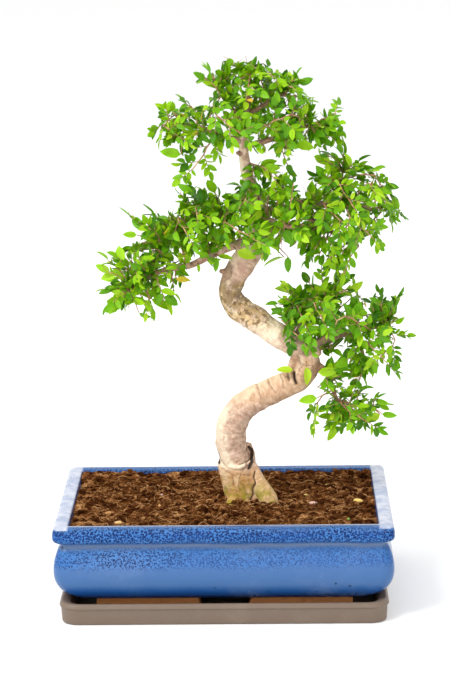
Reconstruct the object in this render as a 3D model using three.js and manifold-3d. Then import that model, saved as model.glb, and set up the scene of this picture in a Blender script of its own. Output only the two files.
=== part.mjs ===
// A Chinese elm bonsai in a glazed rectangular pot that stands on a drip tray.
// Millimetres, +Z up. The origin is the centre of the tray's underside. X runs right, Y to the back.
import * as THREE from "three";
import { mergeVertices } from "three/addons/utils/BufferGeometryUtils.js";
import Module from "manifold-3d";

const wasm = await Module();
wasm.setup();

// Clearance between pieces that meet on a curved or cut face
const gap = 0.3;

// Drip tray
const trayLength = 300;
const trayDepth = 232;
const trayHeight = 20;
const trayFloor = 3;

// Pot. Insets are measured inwards from its rim's outer edge.
const potLength = 310;
const potDepth = 220;
const potRimTop = 89;
const potUnderside = 15;
const potFloorTop = 22;
const footInnerEnd = 21;
const footOuterEnd = 118;
const footSlant = 5;
const footFront = 74;
const footThickness = 14;
const drainHoleRadius = 11;
const drainHoleX = 80;

// Drain mesh plates
const meshPlateSide = 34;
const meshPlateThickness = 1.4;
const meshHoleSide = 6;
const meshHolePitch = 8.6;
const meshHolesAcross = 3;

// Soil
const soilLevel = 83.5;
const soilMound = 5;
const soilMoundRadius = 46;
const treeX = 24;
const treeY = -1;

// Foliage
const leafLength = 26;
const leafHalfWidth = 6.5;
const leafThickness = 0.8;
const leafFoot = 0.9;
const leafAngle = 0.95;
const leafSpacing = 8.3;
const mostLeaves = 9;
const fewestLeaves = 4;
const twigRadius = [1.5, 0.9];
const twigFlatness = 0.75;
const planZigzag = 3;
const planFoot = 0.05;
const leafTries = 30;
const cloudSpots = 40;
const firstSeed = 6000;
const seedStep = 30;

const up = new THREE.Vector3(0, 0, 1);

// A closed geometry as a solid that can be joined and cut
function toSolid(geometry) {
  const bare = geometry.clone();
  bare.deleteAttribute("normal");
  bare.deleteAttribute("uv");
  const merged = mergeVertices(bare, 1e-4);
  return new wasm.Manifold(
    new wasm.Mesh({
      numProp: 3,
      vertProperties: merged.getAttribute("position").array,
      triVerts: new Uint32Array(merged.getIndex().array),
    }),
  );
}

// A solid as a named mesh with its own material
function toMesh(name, solid, look) {
  const { vertProperties, triVerts } = solid.getMesh();
  const geometry = new THREE.BufferGeometry();
  geometry.setAttribute("position", new THREE.BufferAttribute(vertProperties, 3));
  geometry.setIndex(new THREE.BufferAttribute(triVerts, 1));
  geometry.computeVertexNormals();
  const mesh = new THREE.Mesh(geometry, new THREE.MeshStandardMaterial({ flatShading: true, ...look }));
  mesh.name = name;
  return mesh;
}

function moveVertices(geometry, place) {
  const position = geometry.getAttribute("position");
  const point = new THREE.Vector3();
  for (let i = 0; i < position.count; i++) {
    point.fromBufferAttribute(position, i);
    place(point, i);
    position.setXYZ(i, point.x, point.y, point.z);
  }
  return geometry;
}

function block(length, depth, height, x, y, z) {
  return toSolid(new THREE.BoxGeometry(length, depth, height).translate(x, y, z));
}

// Random numbers from 0 to 1 that come out the same every time for one seed
function randomFrom(seed) {
  let state = Math.imul(seed + 1, 2654435761) >>> 0;
  return () => {
    state = (Math.imul(state, 1664525) + 1013904223) >>> 0;
    return state / 4294967296;
  };
}

// A lathe pressed square. The profile is a list of [inset, z, corner radius], bottom first, and it
// starts and ends on the axis, where the inset is left out: [z].
function squareTurned(profile, length, depth) {
  const cornerSteps = 3;
  const perCorner = cornerSteps + 1;
  const around = 4 * perCorner;
  const rings = profile.map((ring) => {
    const onAxis = ring.length === 1;
    return new THREE.Vector2(onAxis ? 0 : 1, onAxis ? ring[0] : ring[1]);
  });
  const geometry = new THREE.LatheGeometry(rings, around);
  moveVertices(geometry, (point, i) => {
    const ring = profile[i % profile.length];
    if (ring.length === 1) {
      point.set(0, 0, ring[0]);
      return;
    }
    const [inset, z, corner] = ring;
    const column = Math.floor(i / profile.length) % around;
    const quarter = Math.floor(column / perCorner);
    const angle = ((quarter + (column % perCorner) / cornerSteps) * Math.PI) / 2;
    const sideX = quarter === 0 || quarter === 3 ? 1 : -1;
    const sideY = quarter < 2 ? 1 : -1;
    point.set(
      sideX * (length / 2 - inset - corner) + corner * Math.cos(angle),
      sideY * (depth / 2 - inset - corner) + corner * Math.sin(angle),
      z,
    );
  });
  return toSolid(geometry);
}

function smoothCurve(points) {
  const places = points.map(([x, y, z]) => new THREE.Vector3(x, y, z));
  return new THREE.CatmullRomCurve3(places, false, "centripetal");
}

// A limb: a cylinder bent along a smooth curve through the points [x, y, z, radius]. The bark
// function scales the radius by the angle round the limb and the share of its length.
function limb(points, { sides = 5, steps = 6, grow = 0, bark = () => 1 } = {}) {
  const curve = smoothCurve(points);
  const frames = curve.computeFrenetFrames(steps, false);
  const geometry = moveVertices(new THREE.CylinderGeometry(1, 1, 1, sides, steps), (point) => {
    const along = THREE.MathUtils.clamp(point.y + 0.5, 0, 1);
    const step = Math.round(along * steps);
    const knot = curve.getUtoTmapping(along) * (points.length - 1);
    const before = Math.min(Math.floor(knot), points.length - 2);
    const radius = THREE.MathUtils.lerp(points[before][3], points[before + 1][3], knot - before);
    const reach = radius * bark(Math.atan2(point.z, point.x), along) + grow;
    const { x, z } = point;
    point.copy(curve.getPointAt(along));
    point.addScaledVector(frames.normals[step], x * reach);
    point.addScaledVector(frames.binormals[step], -z * reach);
    const end = along === 0 ? -grow : along === 1 ? grow : 0;
    point.addScaledVector(frames.tangents[step], end);
  });
  return toSolid(geometry);
}

function joinAll(solids) {
  return solids.reduce((whole, piece) => whole.add(piece));
}

// The drip tray, with a lip band that stands proud of the wall
function dripTray() {
  return squareTurned(
    [
      [0],
      [4, 0, 10],
      [2, 1.5, 11],
      [1.2, 14.5, 12],
      [0, 15.5, 13],
      [0, trayHeight - 1, 13],
      [1, trayHeight, 12],
      [2.4, trayHeight, 11],
      [3.2, trayHeight - 1, 11],
      [4, trayFloor + 1.5, 10],
      [6, trayFloor, 9],
      [trayFloor],
    ],
    trayLength,
    trayDepth,
  );
}

// The pot, fired in one piece with its feet and pierced by two drain holes
function pot() {
  const bowl = squareTurned(
    [
      [potUnderside],
      [28, potUnderside, 14],
      [18, 18.5, 16],
      [9, 24, 17],
      [3.6, 31, 16],
      [0.8, 39, 14],
      [0, 48, 12],
      [1.2, 58, 11],
      [4.2, 67, 9],
      [6.5, 71.5, 8],
      [6, 73.5, 8],
      [2.2, 75, 7],
      [0.4, 77.5, 6],
      [0, 82, 6],
      [0.8, 87, 6],
      [2.5, potRimTop, 5],
      [12.5, potRimTop, 4],
      [14, 87.5, 4],
      [14, 56, 5],
      [18, 36, 7],
      [36, potFloorTop, 8],
      [potFloorTop],
    ],
    potLength,
    potDepth,
  );
  const footHeight = potUnderside - trayFloor + 1;
  const outline = new THREE.Shape();
  outline.moveTo(footInnerEnd, 0);
  outline.lineTo(footOuterEnd, 0);
  outline.lineTo(footOuterEnd, footHeight);
  outline.lineTo(footInnerEnd + footSlant, footHeight);
  const foot = toSolid(
    new THREE.ExtrudeGeometry(outline, { depth: footThickness, bevelEnabled: false })
      .rotateX(Math.PI / 2)
      .translate(0, footThickness / 2, trayFloor),
  );
  const footY = footFront - footThickness / 2;
  const pair = foot.add(foot.mirror([1, 0, 0]));
  const feet = [-footY, footY].map((y) => pair.translate([0, y, 0]));
  const drill = toSolid(
    new THREE.CylinderGeometry(drainHoleRadius, drainHoleRadius, 20, 16).rotateX(Math.PI / 2),
  );
  const drainHoles = [-drainHoleX, drainHoleX].map((x) => drill.translate([x, 0, potFloorTop - 4]));
  return joinAll([bowl, ...feet]).subtract(joinAll(drainHoles));
}

// A thin square plate with rows of square holes that covers a drain hole
function drainMesh(x) {
  const plateZ = potFloorTop + meshPlateThickness / 2;
  const plate = block(meshPlateSide, meshPlateSide, meshPlateThickness, x, 0, plateZ);
  const middle = (meshHolesAcross - 1) / 2;
  const holes = [];
  for (let row = 0; row < meshHolesAcross; row++) {
    for (let column = 0; column < meshHolesAcross; column++) {
      const holeX = x + (column - middle) * meshHolePitch;
      const holeY = (row - middle) * meshHolePitch;
      holes.push(block(meshHoleSide, meshHoleSide, 10, holeX, holeY, potFloorTop));
    }
  }
  return plate.subtract(joinAll(holes));
}

// The height of the soil's rough top: a mound round the tree, long swells and crumbs
function soilTop(x, y, crumb) {
  const fromTree = Math.hypot(x - treeX, y - treeY) / soilMoundRadius;
  const mound = soilMound * Math.exp(-fromTree * fromTree);
  const longSwell = 1.3 * Math.sin(x * 0.045 + 1.3) * Math.cos(y * 0.06);
  const shortSwell = 0.9 * Math.sin(x * 0.11 + y * 0.13);
  return soilLevel + mound + longSwell + shortSwell + 1.6 * (crumb - 0.5);
}

// Soil fills the pot's cavity. It has pockets for the drain meshes and a hole for the trunk and roots.
function soil(treeCutter) {
  const fill = squareTurned(
    [
      [potFloorTop + gap],
      [36 + gap, potFloorTop + gap, 8],
      [18 + gap, 36, 7],
      [14 + gap, 56, 5],
      [14 + gap, potRimTop + 20, 5],
      [potRimTop + 20],
    ],
    potLength,
    potDepth,
  );
  const crumb = randomFrom(7);
  const slab = new THREE.BoxGeometry(potLength, potDepth, soilLevel, 15, 11, 1);
  slab.translate(0, 0, soilLevel / 2);
  const crumbs = new Map();
  moveVertices(slab, (point) => {
    if (point.z < 1) return;
    const key = `${point.x.toFixed(2)} ${point.y.toFixed(2)}`;
    if (!crumbs.has(key)) crumbs.set(key, crumb());
    point.z = soilTop(point.x, point.y, crumbs.get(key));
  });
  const side = meshPlateSide + 2 * gap;
  const height = meshPlateThickness + gap;
  const pockets = [-drainHoleX, drainHoleX].map((x) => block(side, side, 2 * height, x, 0, potFloorTop));
  return fill.intersect(toSolid(slab)).subtract(joinAll([...pockets, treeCutter]));
}

// The trunk's centre line from the root ball to the apex, with its radius
const trunkLine = [
  [26, 2, 52, 24],
  [24, 2, 79, 19.5],
  [15, 2, 106, 16],
  [6, 1, 135, 13.6],
  [5, 0, 153, 13.1],
  [11, -1, 169, 13.1],
  [26, -2, 182, 12.6],
  [43, -3, 190, 12.4],
  [60, -4, 198, 12.3],
  [73, -4, 206, 12],
  [79, -4, 218, 11.4],
  [74, -3, 230, 11],
  [60, -1, 238, 11.2],
  [44, 2, 248, 11.4],
  [29, 5, 259, 12],
  [15, 8, 268, 11.8],
  [7, 10, 281, 10.4],
  [10, 10, 294, 11.2],
  [18, 9, 309, 12.1],
  [29, 7, 326, 12.1],
  [35, 5, 341, 11.2],
  [36, 4, 357, 8.6],
  [30, 3, 373, 6.6],
  [24, 2, 394, 5.3],
  [21, 2, 417, 4.6],
  [22, 2, 440, 3.7],
  [25, 3, 458, 2.8],
  [27, 3, 476, 2],
];

// The old root collar: a sleeve of bark round the trunk's foot, open in a crescent on the right. Its
// rim slants down to the front and the left.
const collarLine = [
  [23, -2, 70, 18],
  [18, -2, 90, 16.5],
  [14, -1, 108, 17],
  [11.5, 0, 128, 17.8],
  [10, 0, 144, 18],
];
const collarCrescent = [
  [14, 0, 108, 13.5],
  [12.5, 0, 128, 15.9],
  [12, 0, 150, 17],
];
const collarRim = [11.5, 0, 128];
const collarSlant = [20, -16];

const roots = [
  [[26, -8, 122, 4.5], [32, -11, 106, 7.2], [40, -16, 91, 9.2], [48, -22, 72, 7], [60, -28, 56, 4]],
  [[12, -8, 92, 7], [4, -16, 80, 6.5], [-10, -24, 68, 5], [-24, -30, 56, 3.5]],
  [[12, 6, 92, 7], [2, 14, 78, 6], [-12, 26, 64, 4.5], [-22, 34, 52, 3]],
  [[34, 8, 88, 7], [44, 18, 74, 6], [56, 30, 60, 4.5], [66, 38, 50, 3]],
  [[22, -12, 80, 7], [20, -26, 66, 5.5], [18, -38, 52, 3.5]],
];

// Pruned stubs and knobs on the trunk
const stubs = [
  [[78, -6, 224, 7], [86, -9, 229, 5.8], [90, -10, 231, 4.2]],
  [[62, -5, 206, 4.6], [64, -7, 216, 4], [65, -7, 223, 3]],
  [[14, 8, 303, 3.6], [1, 7, 303, 2.6], [-3, 7, 303, 1.8]],
  [[22, 1, 412, 2.6], [14, -2, 415, 1.6]],
  [[23, 2, 402, 2.6], [30, -2, 404, 1.6]],
];

// Branches, each starting inside the trunk or another branch
const branches = {
  leftLow: [
    [29, 6, 334, 5], [9, -2, 328, 4.2], [-11, -6, 320, 3.7], [-28, -8, 312, 3.2], [-39, -8, 310, 2.9],
    [-66, -8, 303, 2.4], [-86, -8, 287, 1.8],
  ],
  leftHigh: [
    [33, 4, 366, 4], [10, 8, 362, 3.2], [-14, 12, 352, 2.6], [-36, 10, 338, 2.2], [-58, 6, 322, 1.7],
  ],
  middleFront: [[35, 3, 352, 4], [44, -16, 354, 3.2], [58, -32, 352, 2.4], [76, -38, 350, 1.7]],
  middleBack: [[33, 5, 362, 4], [38, 24, 362, 3], [30, 42, 358, 2.2], [14, 48, 354, 1.7]],
  middleRight: [
    [35, 4, 358, 5], [56, 4, 362, 4.2], [80, 2, 364, 3.6], [104, -2, 368, 3], [126, -6, 366, 2.3],
    [142, -8, 360, 1.8],
  ],
  rightBack: [[78, 2, 364, 3], [96, 18, 362, 2.6], [116, 28, 360, 2], [130, 30, 356, 1.6]],
  rightTop: [[98, 0, 367, 2.8], [108, 4, 382, 2.2], [112, 6, 394, 1.6]],
  rightLow: [[70, 3, 363, 3], [90, -8, 348, 2.4], [110, -14, 338, 2], [126, -16, 330, 1.6]],
  apexLeft: [[22, 2, 424, 3.4], [4, 0, 430, 2.8], [-16, -3, 438, 2.3], [-36, -4, 442, 1.7]],
  apexRight: [[22, 2, 420, 3.4], [44, 0, 426, 2.8], [68, -2, 435, 2.3], [90, 0, 442, 1.7]],
  apexFront: [[22, 1, 430, 2.8], [30, -16, 438, 2.2], [40, -32, 444, 1.6]],
  apexBack: [[22, 4, 426, 2.8], [18, 20, 436, 2.2], [22, 36, 444, 1.6]],
  apexHighLeft: [[23, 3, 444, 2.4], [8, 0, 458, 1.9], [0, -4, 470, 1.5]],
  apexHighRight: [[24, 3, 448, 2.6], [44, 4, 460, 2.1], [60, 6, 468, 1.5]],
  lowRight: [
    [78, -3, 226, 4.4], [98, -2, 238, 3.6], [118, 0, 246, 3], [138, 0, 250, 2.4], [154, 0, 252, 1.8],
  ],
  lowFront: [[76, -5, 222, 3.6], [84, -20, 238, 2.8], [94, -34, 248, 2.2], [104, -38, 254, 1.7]],
  lowBack: [[66, 1, 238, 3.6], [74, 18, 250, 2.8], [86, 32, 256, 2.2], [98, 38, 258, 1.7]],
  lowHigh: [[60, 0, 242, 3.4], [70, -2, 258, 2.6], [84, -4, 270, 2], [96, -4, 276, 1.6]],
  lowDrop: [[118, 0, 246, 2.6], [128, -4, 232, 2.2], [132, -6, 214, 1.6]],
  hanging: [
    [79, -5, 218, 3.8], [92, -8, 214, 3.2], [100, -10, 200, 2.6], [105, -10, 182, 2],
    [107, -10, 164, 1.5],
  ],
  hangingSide: [[105, -10, 184, 2], [120, -12, 179, 1.7], [138, -12, 175, 1.4]],
};

// Low ridges and swellings of old bark
function trunkBark(angle, along) {
  return 1 + 0.05 * Math.sin(2 * angle + 40 * along) + 0.035 * Math.sin(3 * angle - 75 * along);
}

function tree(grow = 0) {
  const ridges = (angle) => 1 + 0.05 * Math.sin(3 * angle);
  const sleeve = limb(collarLine, { sides: 12, steps: 6, grow, bark: ridges }).subtract(
    block(90, 90, 60, 0, 0, 30 + grow).rotate([...collarSlant, 0]).translate(collarRim),
  );
  const crescent = limb(collarCrescent, { sides: 12, steps: 2 });
  return joinAll([
    grow === 0 ? sleeve.subtract(crescent) : sleeve,
    limb(trunkLine, { sides: 10, steps: 46, grow, bark: trunkBark }),
    ...roots.map((line) => limb(line, { steps: 4, grow })),
    ...stubs.map((line) => limb(line, { sides: 6, steps: 2, grow })),
    ...Object.values(branches).map((line) => limb(line, { steps: 4, grow })),
  ]);
}

// Clouds of foliage. The sprays of a cloud end near the surface of an ellipsoid with this centre and
// these half sizes, and each grows from the nearest of the cloud's branches.
const clouds = [
  {
    name: "apex", sprays: 9, centre: [36, 0, 452], reach: [48, 44, 38],
    on: ["apexLeft", "apexRight", "apexFront", "apexBack", "apexHighLeft", "apexHighRight"],
  },
  { name: "apex_left", sprays: 3, centre: [-34, -2, 443], reach: [20, 26, 15], on: ["apexLeft"] },
  { name: "apex_right", sprays: 2, centre: [86, 2, 444], reach: [20, 30, 24], on: ["apexRight"] },
  { name: "apex_hanging", sprays: 1, centre: [-26, -8, 402], reach: [3, 3, 4], on: ["apexLeft"] },
  {
    name: "middle", sprays: 8, centre: [42, -8, 356], reach: [46, 44, 27],
    on: ["middleFront", "middleBack", "middleRight", "leftHigh"],
  },
  {
    name: "middle_right", sprays: 8, centre: [118, 0, 362], reach: [38, 38, 38],
    on: ["middleRight", "rightBack", "rightTop", "rightLow"],
  },
  {
    name: "left_upper", sprays: 4, centre: [-16, -2, 346], reach: [30, 34, 22],
    on: ["leftHigh", "leftLow"],
  },
  {
    name: "left_middle", sprays: 4, centre: [-58, -2, 316], reach: [24, 28, 22],
    on: ["leftHigh", "leftLow"],
  },
  { name: "left_low", sprays: 3, centre: [-84, -4, 286], reach: [20, 24, 22], on: ["leftLow"] },
  {
    name: "lower", sprays: 7, centre: [98, 0, 256], reach: [46, 42, 28],
    on: ["lowRight", "lowFront", "lowBack", "lowHigh"],
  },
  {
    name: "lower_edge", sprays: 2, centre: [140, -2, 234], reach: [24, 26, 30],
    on: ["lowRight", "lowDrop"],
  },
  {
    name: "hanging", sprays: 3, centre: [114, -10, 172], reach: [30, 20, 24],
    on: ["hanging", "hangingSide"],
  },
];
const goldenAngle = Math.PI * (3 - Math.sqrt(5));
const cloudUnderside = -0.6;
const twigTurn = 0.36;
const twigFall = 0.3;
const twigSlip = 6;

// A leaf's corners from its base round to its base again: shares of its length and of its half width
const leafCorners = [[0, -1], [0.32, -1], [0.7, -0.8], [1, 0], [0.7, 0.8], [0.32, 1], [0, 1]];

// The point of a cloud's branches that is nearest to a target, slipped back towards the branch's root
function twigStart(names, target) {
  let best;
  for (const name of names) {
    const curve = smoothCurve(branches[name]);
    const length = curve.getLength();
    for (let along = 0.25; along <= 1.001; along += 0.05) {
      const distance = curve.getPointAt(Math.min(along, 1)).distanceTo(target);
      if (best && distance >= best.distance) continue;
      best = { curve, distance, along: Math.max(along - twigSlip / length, 0.15) };
    }
  }
  return best.curve.getPointAt(best.along);
}

// The point of a cloud's ellipsoid at a turn round Z and a height from -1 to 1
function onCloud(cloud, turn, height) {
  const flat = Math.sqrt(1 - height * height);
  const point = new THREE.Vector3(flat * Math.cos(turn), flat * Math.sin(turn), height);
  return point.multiply(new THREE.Vector3(...cloud.reach)).add(new THREE.Vector3(...cloud.centre));
}

// Frames along a twig, from its end back to its start, whose face keeps to the outer side
function twigFrames(curve, outward) {
  const length = curve.getLength();
  const stations = Math.ceil(length / leafSpacing) + 1;
  const face = outward.clone();
  return Array.from({ length: stations }, (_, index) => {
    const distance = Math.max(length - index * leafSpacing, 0);
    const along = distance / length;
    const tangent = curve.getTangentAt(along);
    face.addScaledVector(tangent, -face.dot(tangent)).normalize();
    const aside = face.clone().cross(tangent);
    const radius = THREE.MathUtils.lerp(...twigRadius, along * along);
    const zigzag = index % 2 ? -planZigzag : planZigzag;
    const origin = curve.getPointAt(along);
    return { origin, tangent, face: face.clone(), aside, distance, radius, zigzag };
  });
}

// A point of a spray: its place in the flat plan and in space, and half its thickness as a vector.
// The twig zigzags in the plan, away from each leaf, so that triangles reach only to the next frame.
function sprayPoint(frame, plan, [u, v, rise], thickness, face = frame.face) {
  const place = frame.origin.clone().addScaledVector(frame.tangent, u);
  place.addScaledVector(frame.aside, v).addScaledVector(frame.face, rise);
  const flat = new THREE.Vector2(frame.distance + plan[0], frame.zigzag + plan[1]);
  return { plan: flat, place, half: face.clone().multiplyScalar(thickness / 2) };
}

function turned(along, across, angle) {
  const [cos, sin] = [Math.cos(angle), Math.sin(angle)];
  return [along * cos - across * sin, along * sin + across * cos];
}

// An outline point on the twig's own edge
function ribPoint(frame, side, plan = [0, side * frame.radius], shift = 0) {
  return sprayPoint(frame, plan, [shift, side * frame.radius, 0], twigFlatness * 2 * frame.radius);
}

// A corner at the foot of a leaf, on the twig's edge or at its end. In the plan the foot is narrow,
// so that a leaf's triangles stay apart from the twig's.
function footPoint(frame, side, width) {
  if (side === 0) return ribPoint(frame, width, [0, width * planFoot]);
  const along = -width * side;
  return ribPoint(frame, side, [along * planFoot, side * frame.radius], along * leafFoot);
}

// The outline points of one leaf on the left (1) or right (-1) of the twig or at its end (0). In the
// flat plan every leaf is alike and stands square to the twig, so that neighbours never overlap there.
function leafPoints(frame, side, { scale, lift, tilt, droop, angle }) {
  const [leanX, leanY] = turned(-lift, -tilt, side * angle);
  const face = frame.face.clone();
  face.addScaledVector(frame.tangent, leanX).addScaledVector(frame.aside, leanY).normalize();
  return leafCorners.map(([share, width]) => {
    if (share === 0) return footPoint(frame, side, width);
    const along = share * leafLength;
    const across = width * leafHalfWidth;
    const plan = turned(along, across, (side * Math.PI) / 2);
    const [u, v] = turned(along * scale, across * scale, side * angle);
    const foot = side * frame.radius;
    const rise = lift * along * scale + tilt * across * scale - droop * share * share;
    return sprayPoint(frame, [plan[0], plan[1] + foot], [u, v + foot, rise], leafThickness, face);
  });
}

// A blade over an outline of spray points, split into triangles alike on both faces
function blade(points) {
  const shape = new THREE.Shape(points.map((point) => point.plan));
  const sheet = new THREE.ExtrudeGeometry(shape, { depth: 1, bevelEnabled: false });
  moveVertices(sheet, (vertex) => {
    const spot = new THREE.Vector2(vertex.x, vertex.y);
    const { place, half } = points.find(({ plan }) => plan.distanceTo(spot) < 1e-3);
    const side = vertex.z > 0.5 ? 1 : -1;
    vertex.copy(place).addScaledVector(half, side);
  });
  return toSolid(sheet);
}

function isClear(candidate, others, distance = gap) {
  return others.every((other) => candidate.minGap(other, 2 * distance) >= distance);
}

function scatter(random, size) {
  return new THREE.Vector3(random() - 0.5, random() - 0.5, random() - 0.5).multiplyScalar(2 * size);
}

// The twig on its own: two outline points at each frame
function twigPoints(frames) {
  const edge = (side) => frames.map((frame) => ribPoint(frame, side));
  return [...edge(-1).reverse(), ...edge(1)];
}

// The frames of a twig that grows out of the nearest branch to the cloud's surface and on along it to
// a spot [turn, height], or nothing where it would cross an earlier spray
function twigTo(cloud, [turn, height], random, placed) {
  const bend = onCloud(cloud, turn - 2 * twigTurn, Math.min(height + 2 * twigFall, 0.97));
  bend.add(scatter(random, 1));
  const target = onCloud(cloud, turn, height);
  const line = [twigStart(cloud.on, bend), bend, target];
  const curve = new THREE.CatmullRomCurve3(line, false, "centripetal");
  const reach = new THREE.Vector3(...cloud.reach);
  const outward = target.clone().sub(new THREE.Vector3(...cloud.centre));
  outward.divide(reach).divide(reach).normalize();
  const frames = twigFrames(curve, outward.addScaledVector(up, 0.5));
  const isKinked = frames.some((frame, i) => i > 0 && frame.tangent.dot(frames[i - 1].tangent) < 0.2);
  return !isKinked && isClear(blade(twigPoints(frames)), placed) ? frames : null;
}

// The leaves of a twig, to its left and right in turn and one at its end, each in the first pose that
// crosses nothing. Moved a little off its foot, a leaf is clear of its own twig too.
function growLeaves(frames, random, trunk, placed) {
  const twig = blade(twigPoints(frames));
  const leaves = [];
  frames.slice(0, mostLeaves).forEach((frame, index) => {
    const side = index === 0 ? 0 : index % 2 ? 1 : -1;
    for (let tries = 0; tries < leafTries; tries++) {
      const loose = 0.4 + tries / leafTries;
      const points = leafPoints(frame, side, {
        scale: 0.85 + 0.2 * random(),
        lift: loose * (random() - 0.5),
        tilt: loose * (random() - 0.5),
        droop: 4 * random(),
        angle: leafAngle + 0.3 * (random() - 0.5),
      });
      const solid = blade(points);
      const away = side === 0 ? frame.tangent : frame.aside.clone().multiplyScalar(side);
      const moved = solid.translate(away.clone().multiplyScalar(leafFoot).toArray());
      const earlier = [...placed, ...leaves.map((leaf) => leaf.solid)];
      if (isClear(moved, [twig]) && isClear(solid, [trunk], 2 * gap) && isClear(solid, earlier)) {
        leaves.push({ frame, side, points, solid });
        return;
      }
    }
  });
  return leaves;
}

// A leafy spray, cut from one arched blade: its outline runs up the right of the twig, round the end
// leaf and down the left
function spray(cloud, seed, trunk, trunkCutter, placed, leafPlaces) {
  const random = randomFrom(seed);
  const room = ([turn, height]) => {
    const spot = onCloud(cloud, turn, height);
    return Math.min(1000, ...leafPlaces.map((place) => place.distanceTo(spot)));
  };
  const spots = Array.from({ length: cloudSpots }, (_, index) => {
    const height = 1 - ((1 - cloudUnderside) * (index + random())) / cloudSpots;
    return [index * goldenAngle + seed, height];
  });
  spots.sort((a, b) => room(b) - room(a));
  for (const spot of spots) {
    const frames = twigTo(cloud, spot, random, placed);
    const leaves = frames ? growLeaves(frames, random, trunk, placed) : [];
    if (leaves.length < fewestLeaves) continue;
    const edge = (side) =>
      frames.flatMap((frame) => {
        const leaf = leaves.find((other) => other.frame === frame);
        if (leaf && leaf.side === 0) return [];
        if (!leaf || leaf.side !== side) return [ribPoint(frame, side)];
        return side === 1 ? leaf.points : [...leaf.points].reverse();
      });
    const tip = leaves[0].side === 0 ? leaves[0].points : [];
    const pieces = blade([...edge(-1).reverse(), ...tip, ...edge(1)]).subtract(trunkCutter).decompose();
    const [whole] = pieces.sort((a, b) => b.volume() - a.volume());
    placed.push(whole);
    leafPlaces.push(...leaves.map((leaf) => leaf.points[3].place));
    return whole;
  }
  return null;
}

const glaze = { color: 0x2f5fc0, roughness: 0.18, metalness: 0 };
const plastic = { color: 0x8e7e70, roughness: 0.55, metalness: 0 };
const darkPlastic = { color: 0x22241f, roughness: 0.6, metalness: 0 };
const earth = { color: 0x5a3520, roughness: 0.95, metalness: 0 };
const barkLook = { color: 0xc9a98c, roughness: 0.85, metalness: 0 };
const leafLook = { color: 0x4f9e12, roughness: 0.4, metalness: 0 };

const trunk = tree();
const trunkCutter = tree(gap);
const bonsai = new THREE.Group();
bonsai.add(
  toMesh("drip_tray", dripTray(), plastic),
  toMesh("pot", pot(), glaze),
  toMesh("drain_mesh_left", drainMesh(-drainHoleX), darkPlastic),
  toMesh("drain_mesh_right", drainMesh(drainHoleX), darkPlastic),
  toMesh("soil", soil(trunkCutter), earth),
  toMesh("trunk", trunk, barkLook),
);

const placed = [];
const leafPlaces = [];
clouds.forEach((cloud, index) => {
  let order = 0;
  for (let tries = 0; order < cloud.sprays && tries < 2 * cloud.sprays; tries++) {
    const seed = firstSeed + seedStep * index + tries;
    const made = spray(cloud, seed, trunk, trunkCutter, placed, leafPlaces);
    if (!made) continue;
    order += 1;
    bonsai.add(toMesh(`${cloud.name}_spray_${order}`, made, leafLook));
  }
});

export default bonsai;
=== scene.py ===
import math
import random

import bmesh
import bpy
from mathutils import Matrix, Vector, noise
from mathutils.geometry import interpolate_bezier
from mathutils.kdtree import KDTree


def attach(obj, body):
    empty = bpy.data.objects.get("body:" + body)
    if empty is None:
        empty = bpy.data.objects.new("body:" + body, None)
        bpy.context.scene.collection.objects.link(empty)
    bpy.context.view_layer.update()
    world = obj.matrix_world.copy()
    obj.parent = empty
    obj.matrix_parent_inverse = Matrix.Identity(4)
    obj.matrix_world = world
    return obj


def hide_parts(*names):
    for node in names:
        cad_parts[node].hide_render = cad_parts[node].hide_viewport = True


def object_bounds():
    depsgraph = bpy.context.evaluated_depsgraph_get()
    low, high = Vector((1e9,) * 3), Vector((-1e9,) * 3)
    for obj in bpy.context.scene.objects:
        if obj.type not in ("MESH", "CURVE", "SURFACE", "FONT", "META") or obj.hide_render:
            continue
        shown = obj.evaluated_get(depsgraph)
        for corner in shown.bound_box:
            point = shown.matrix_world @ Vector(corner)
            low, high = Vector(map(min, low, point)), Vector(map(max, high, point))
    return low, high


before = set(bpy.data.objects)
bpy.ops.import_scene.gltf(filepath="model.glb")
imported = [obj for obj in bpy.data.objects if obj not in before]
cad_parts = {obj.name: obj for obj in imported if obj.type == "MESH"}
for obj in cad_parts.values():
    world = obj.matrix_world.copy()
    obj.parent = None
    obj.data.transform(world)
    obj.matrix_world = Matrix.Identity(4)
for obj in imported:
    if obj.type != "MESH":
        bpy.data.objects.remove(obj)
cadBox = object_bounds()
mm = 0.001
scene = bpy.context.scene
print("frame: loaded", len(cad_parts), "nodes")


# Camera, light and floor

camera = {
    "place": (0.0425, -2.3284, 0.7467),
    "pitch": 0.2134,  # radians below the horizon
    "yaw": -0.0174,
    "roll": -0.0123,
    "lens": 136.87,  # for a 36 mm long side
}
studio = {
    "backdrop": (1.0, 1.0, 1.0),
    "backdropStrength": 1.05,
    "floorColour": (0.93, 0.93, 0.93, 1.0),
    "floorSize": 60.0,
    # name: place, size, watts
    "lamps": {
        "key": ((-1.5, -1.3, 2.2), 1.2, 55.0),
        "front": ((0.4, -2.6, 0.5), 1.6, 13.0),
        "back": ((0.6, 1.8, 1.9), 1.6, 14.0),
    },
    "aim": (0.02, 0.0, 0.22),
}


def makeCamera():
    made = bpy.data.objects.new("camera", bpy.data.cameras.new("camera"))
    made.data.lens = camera["lens"]
    made.data.sensor_width = 36.0
    made.data.clip_end = 50.0
    turn = Matrix.Rotation(-camera["yaw"], 4, "Z")
    turn = turn @ Matrix.Rotation(math.pi / 2 - camera["pitch"], 4, "X")
    turn = turn @ Matrix.Rotation(camera["roll"], 4, "Z")
    made.matrix_world = Matrix.Translation(camera["place"]) @ turn
    scene.collection.objects.link(made)
    scene.camera = made


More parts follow.
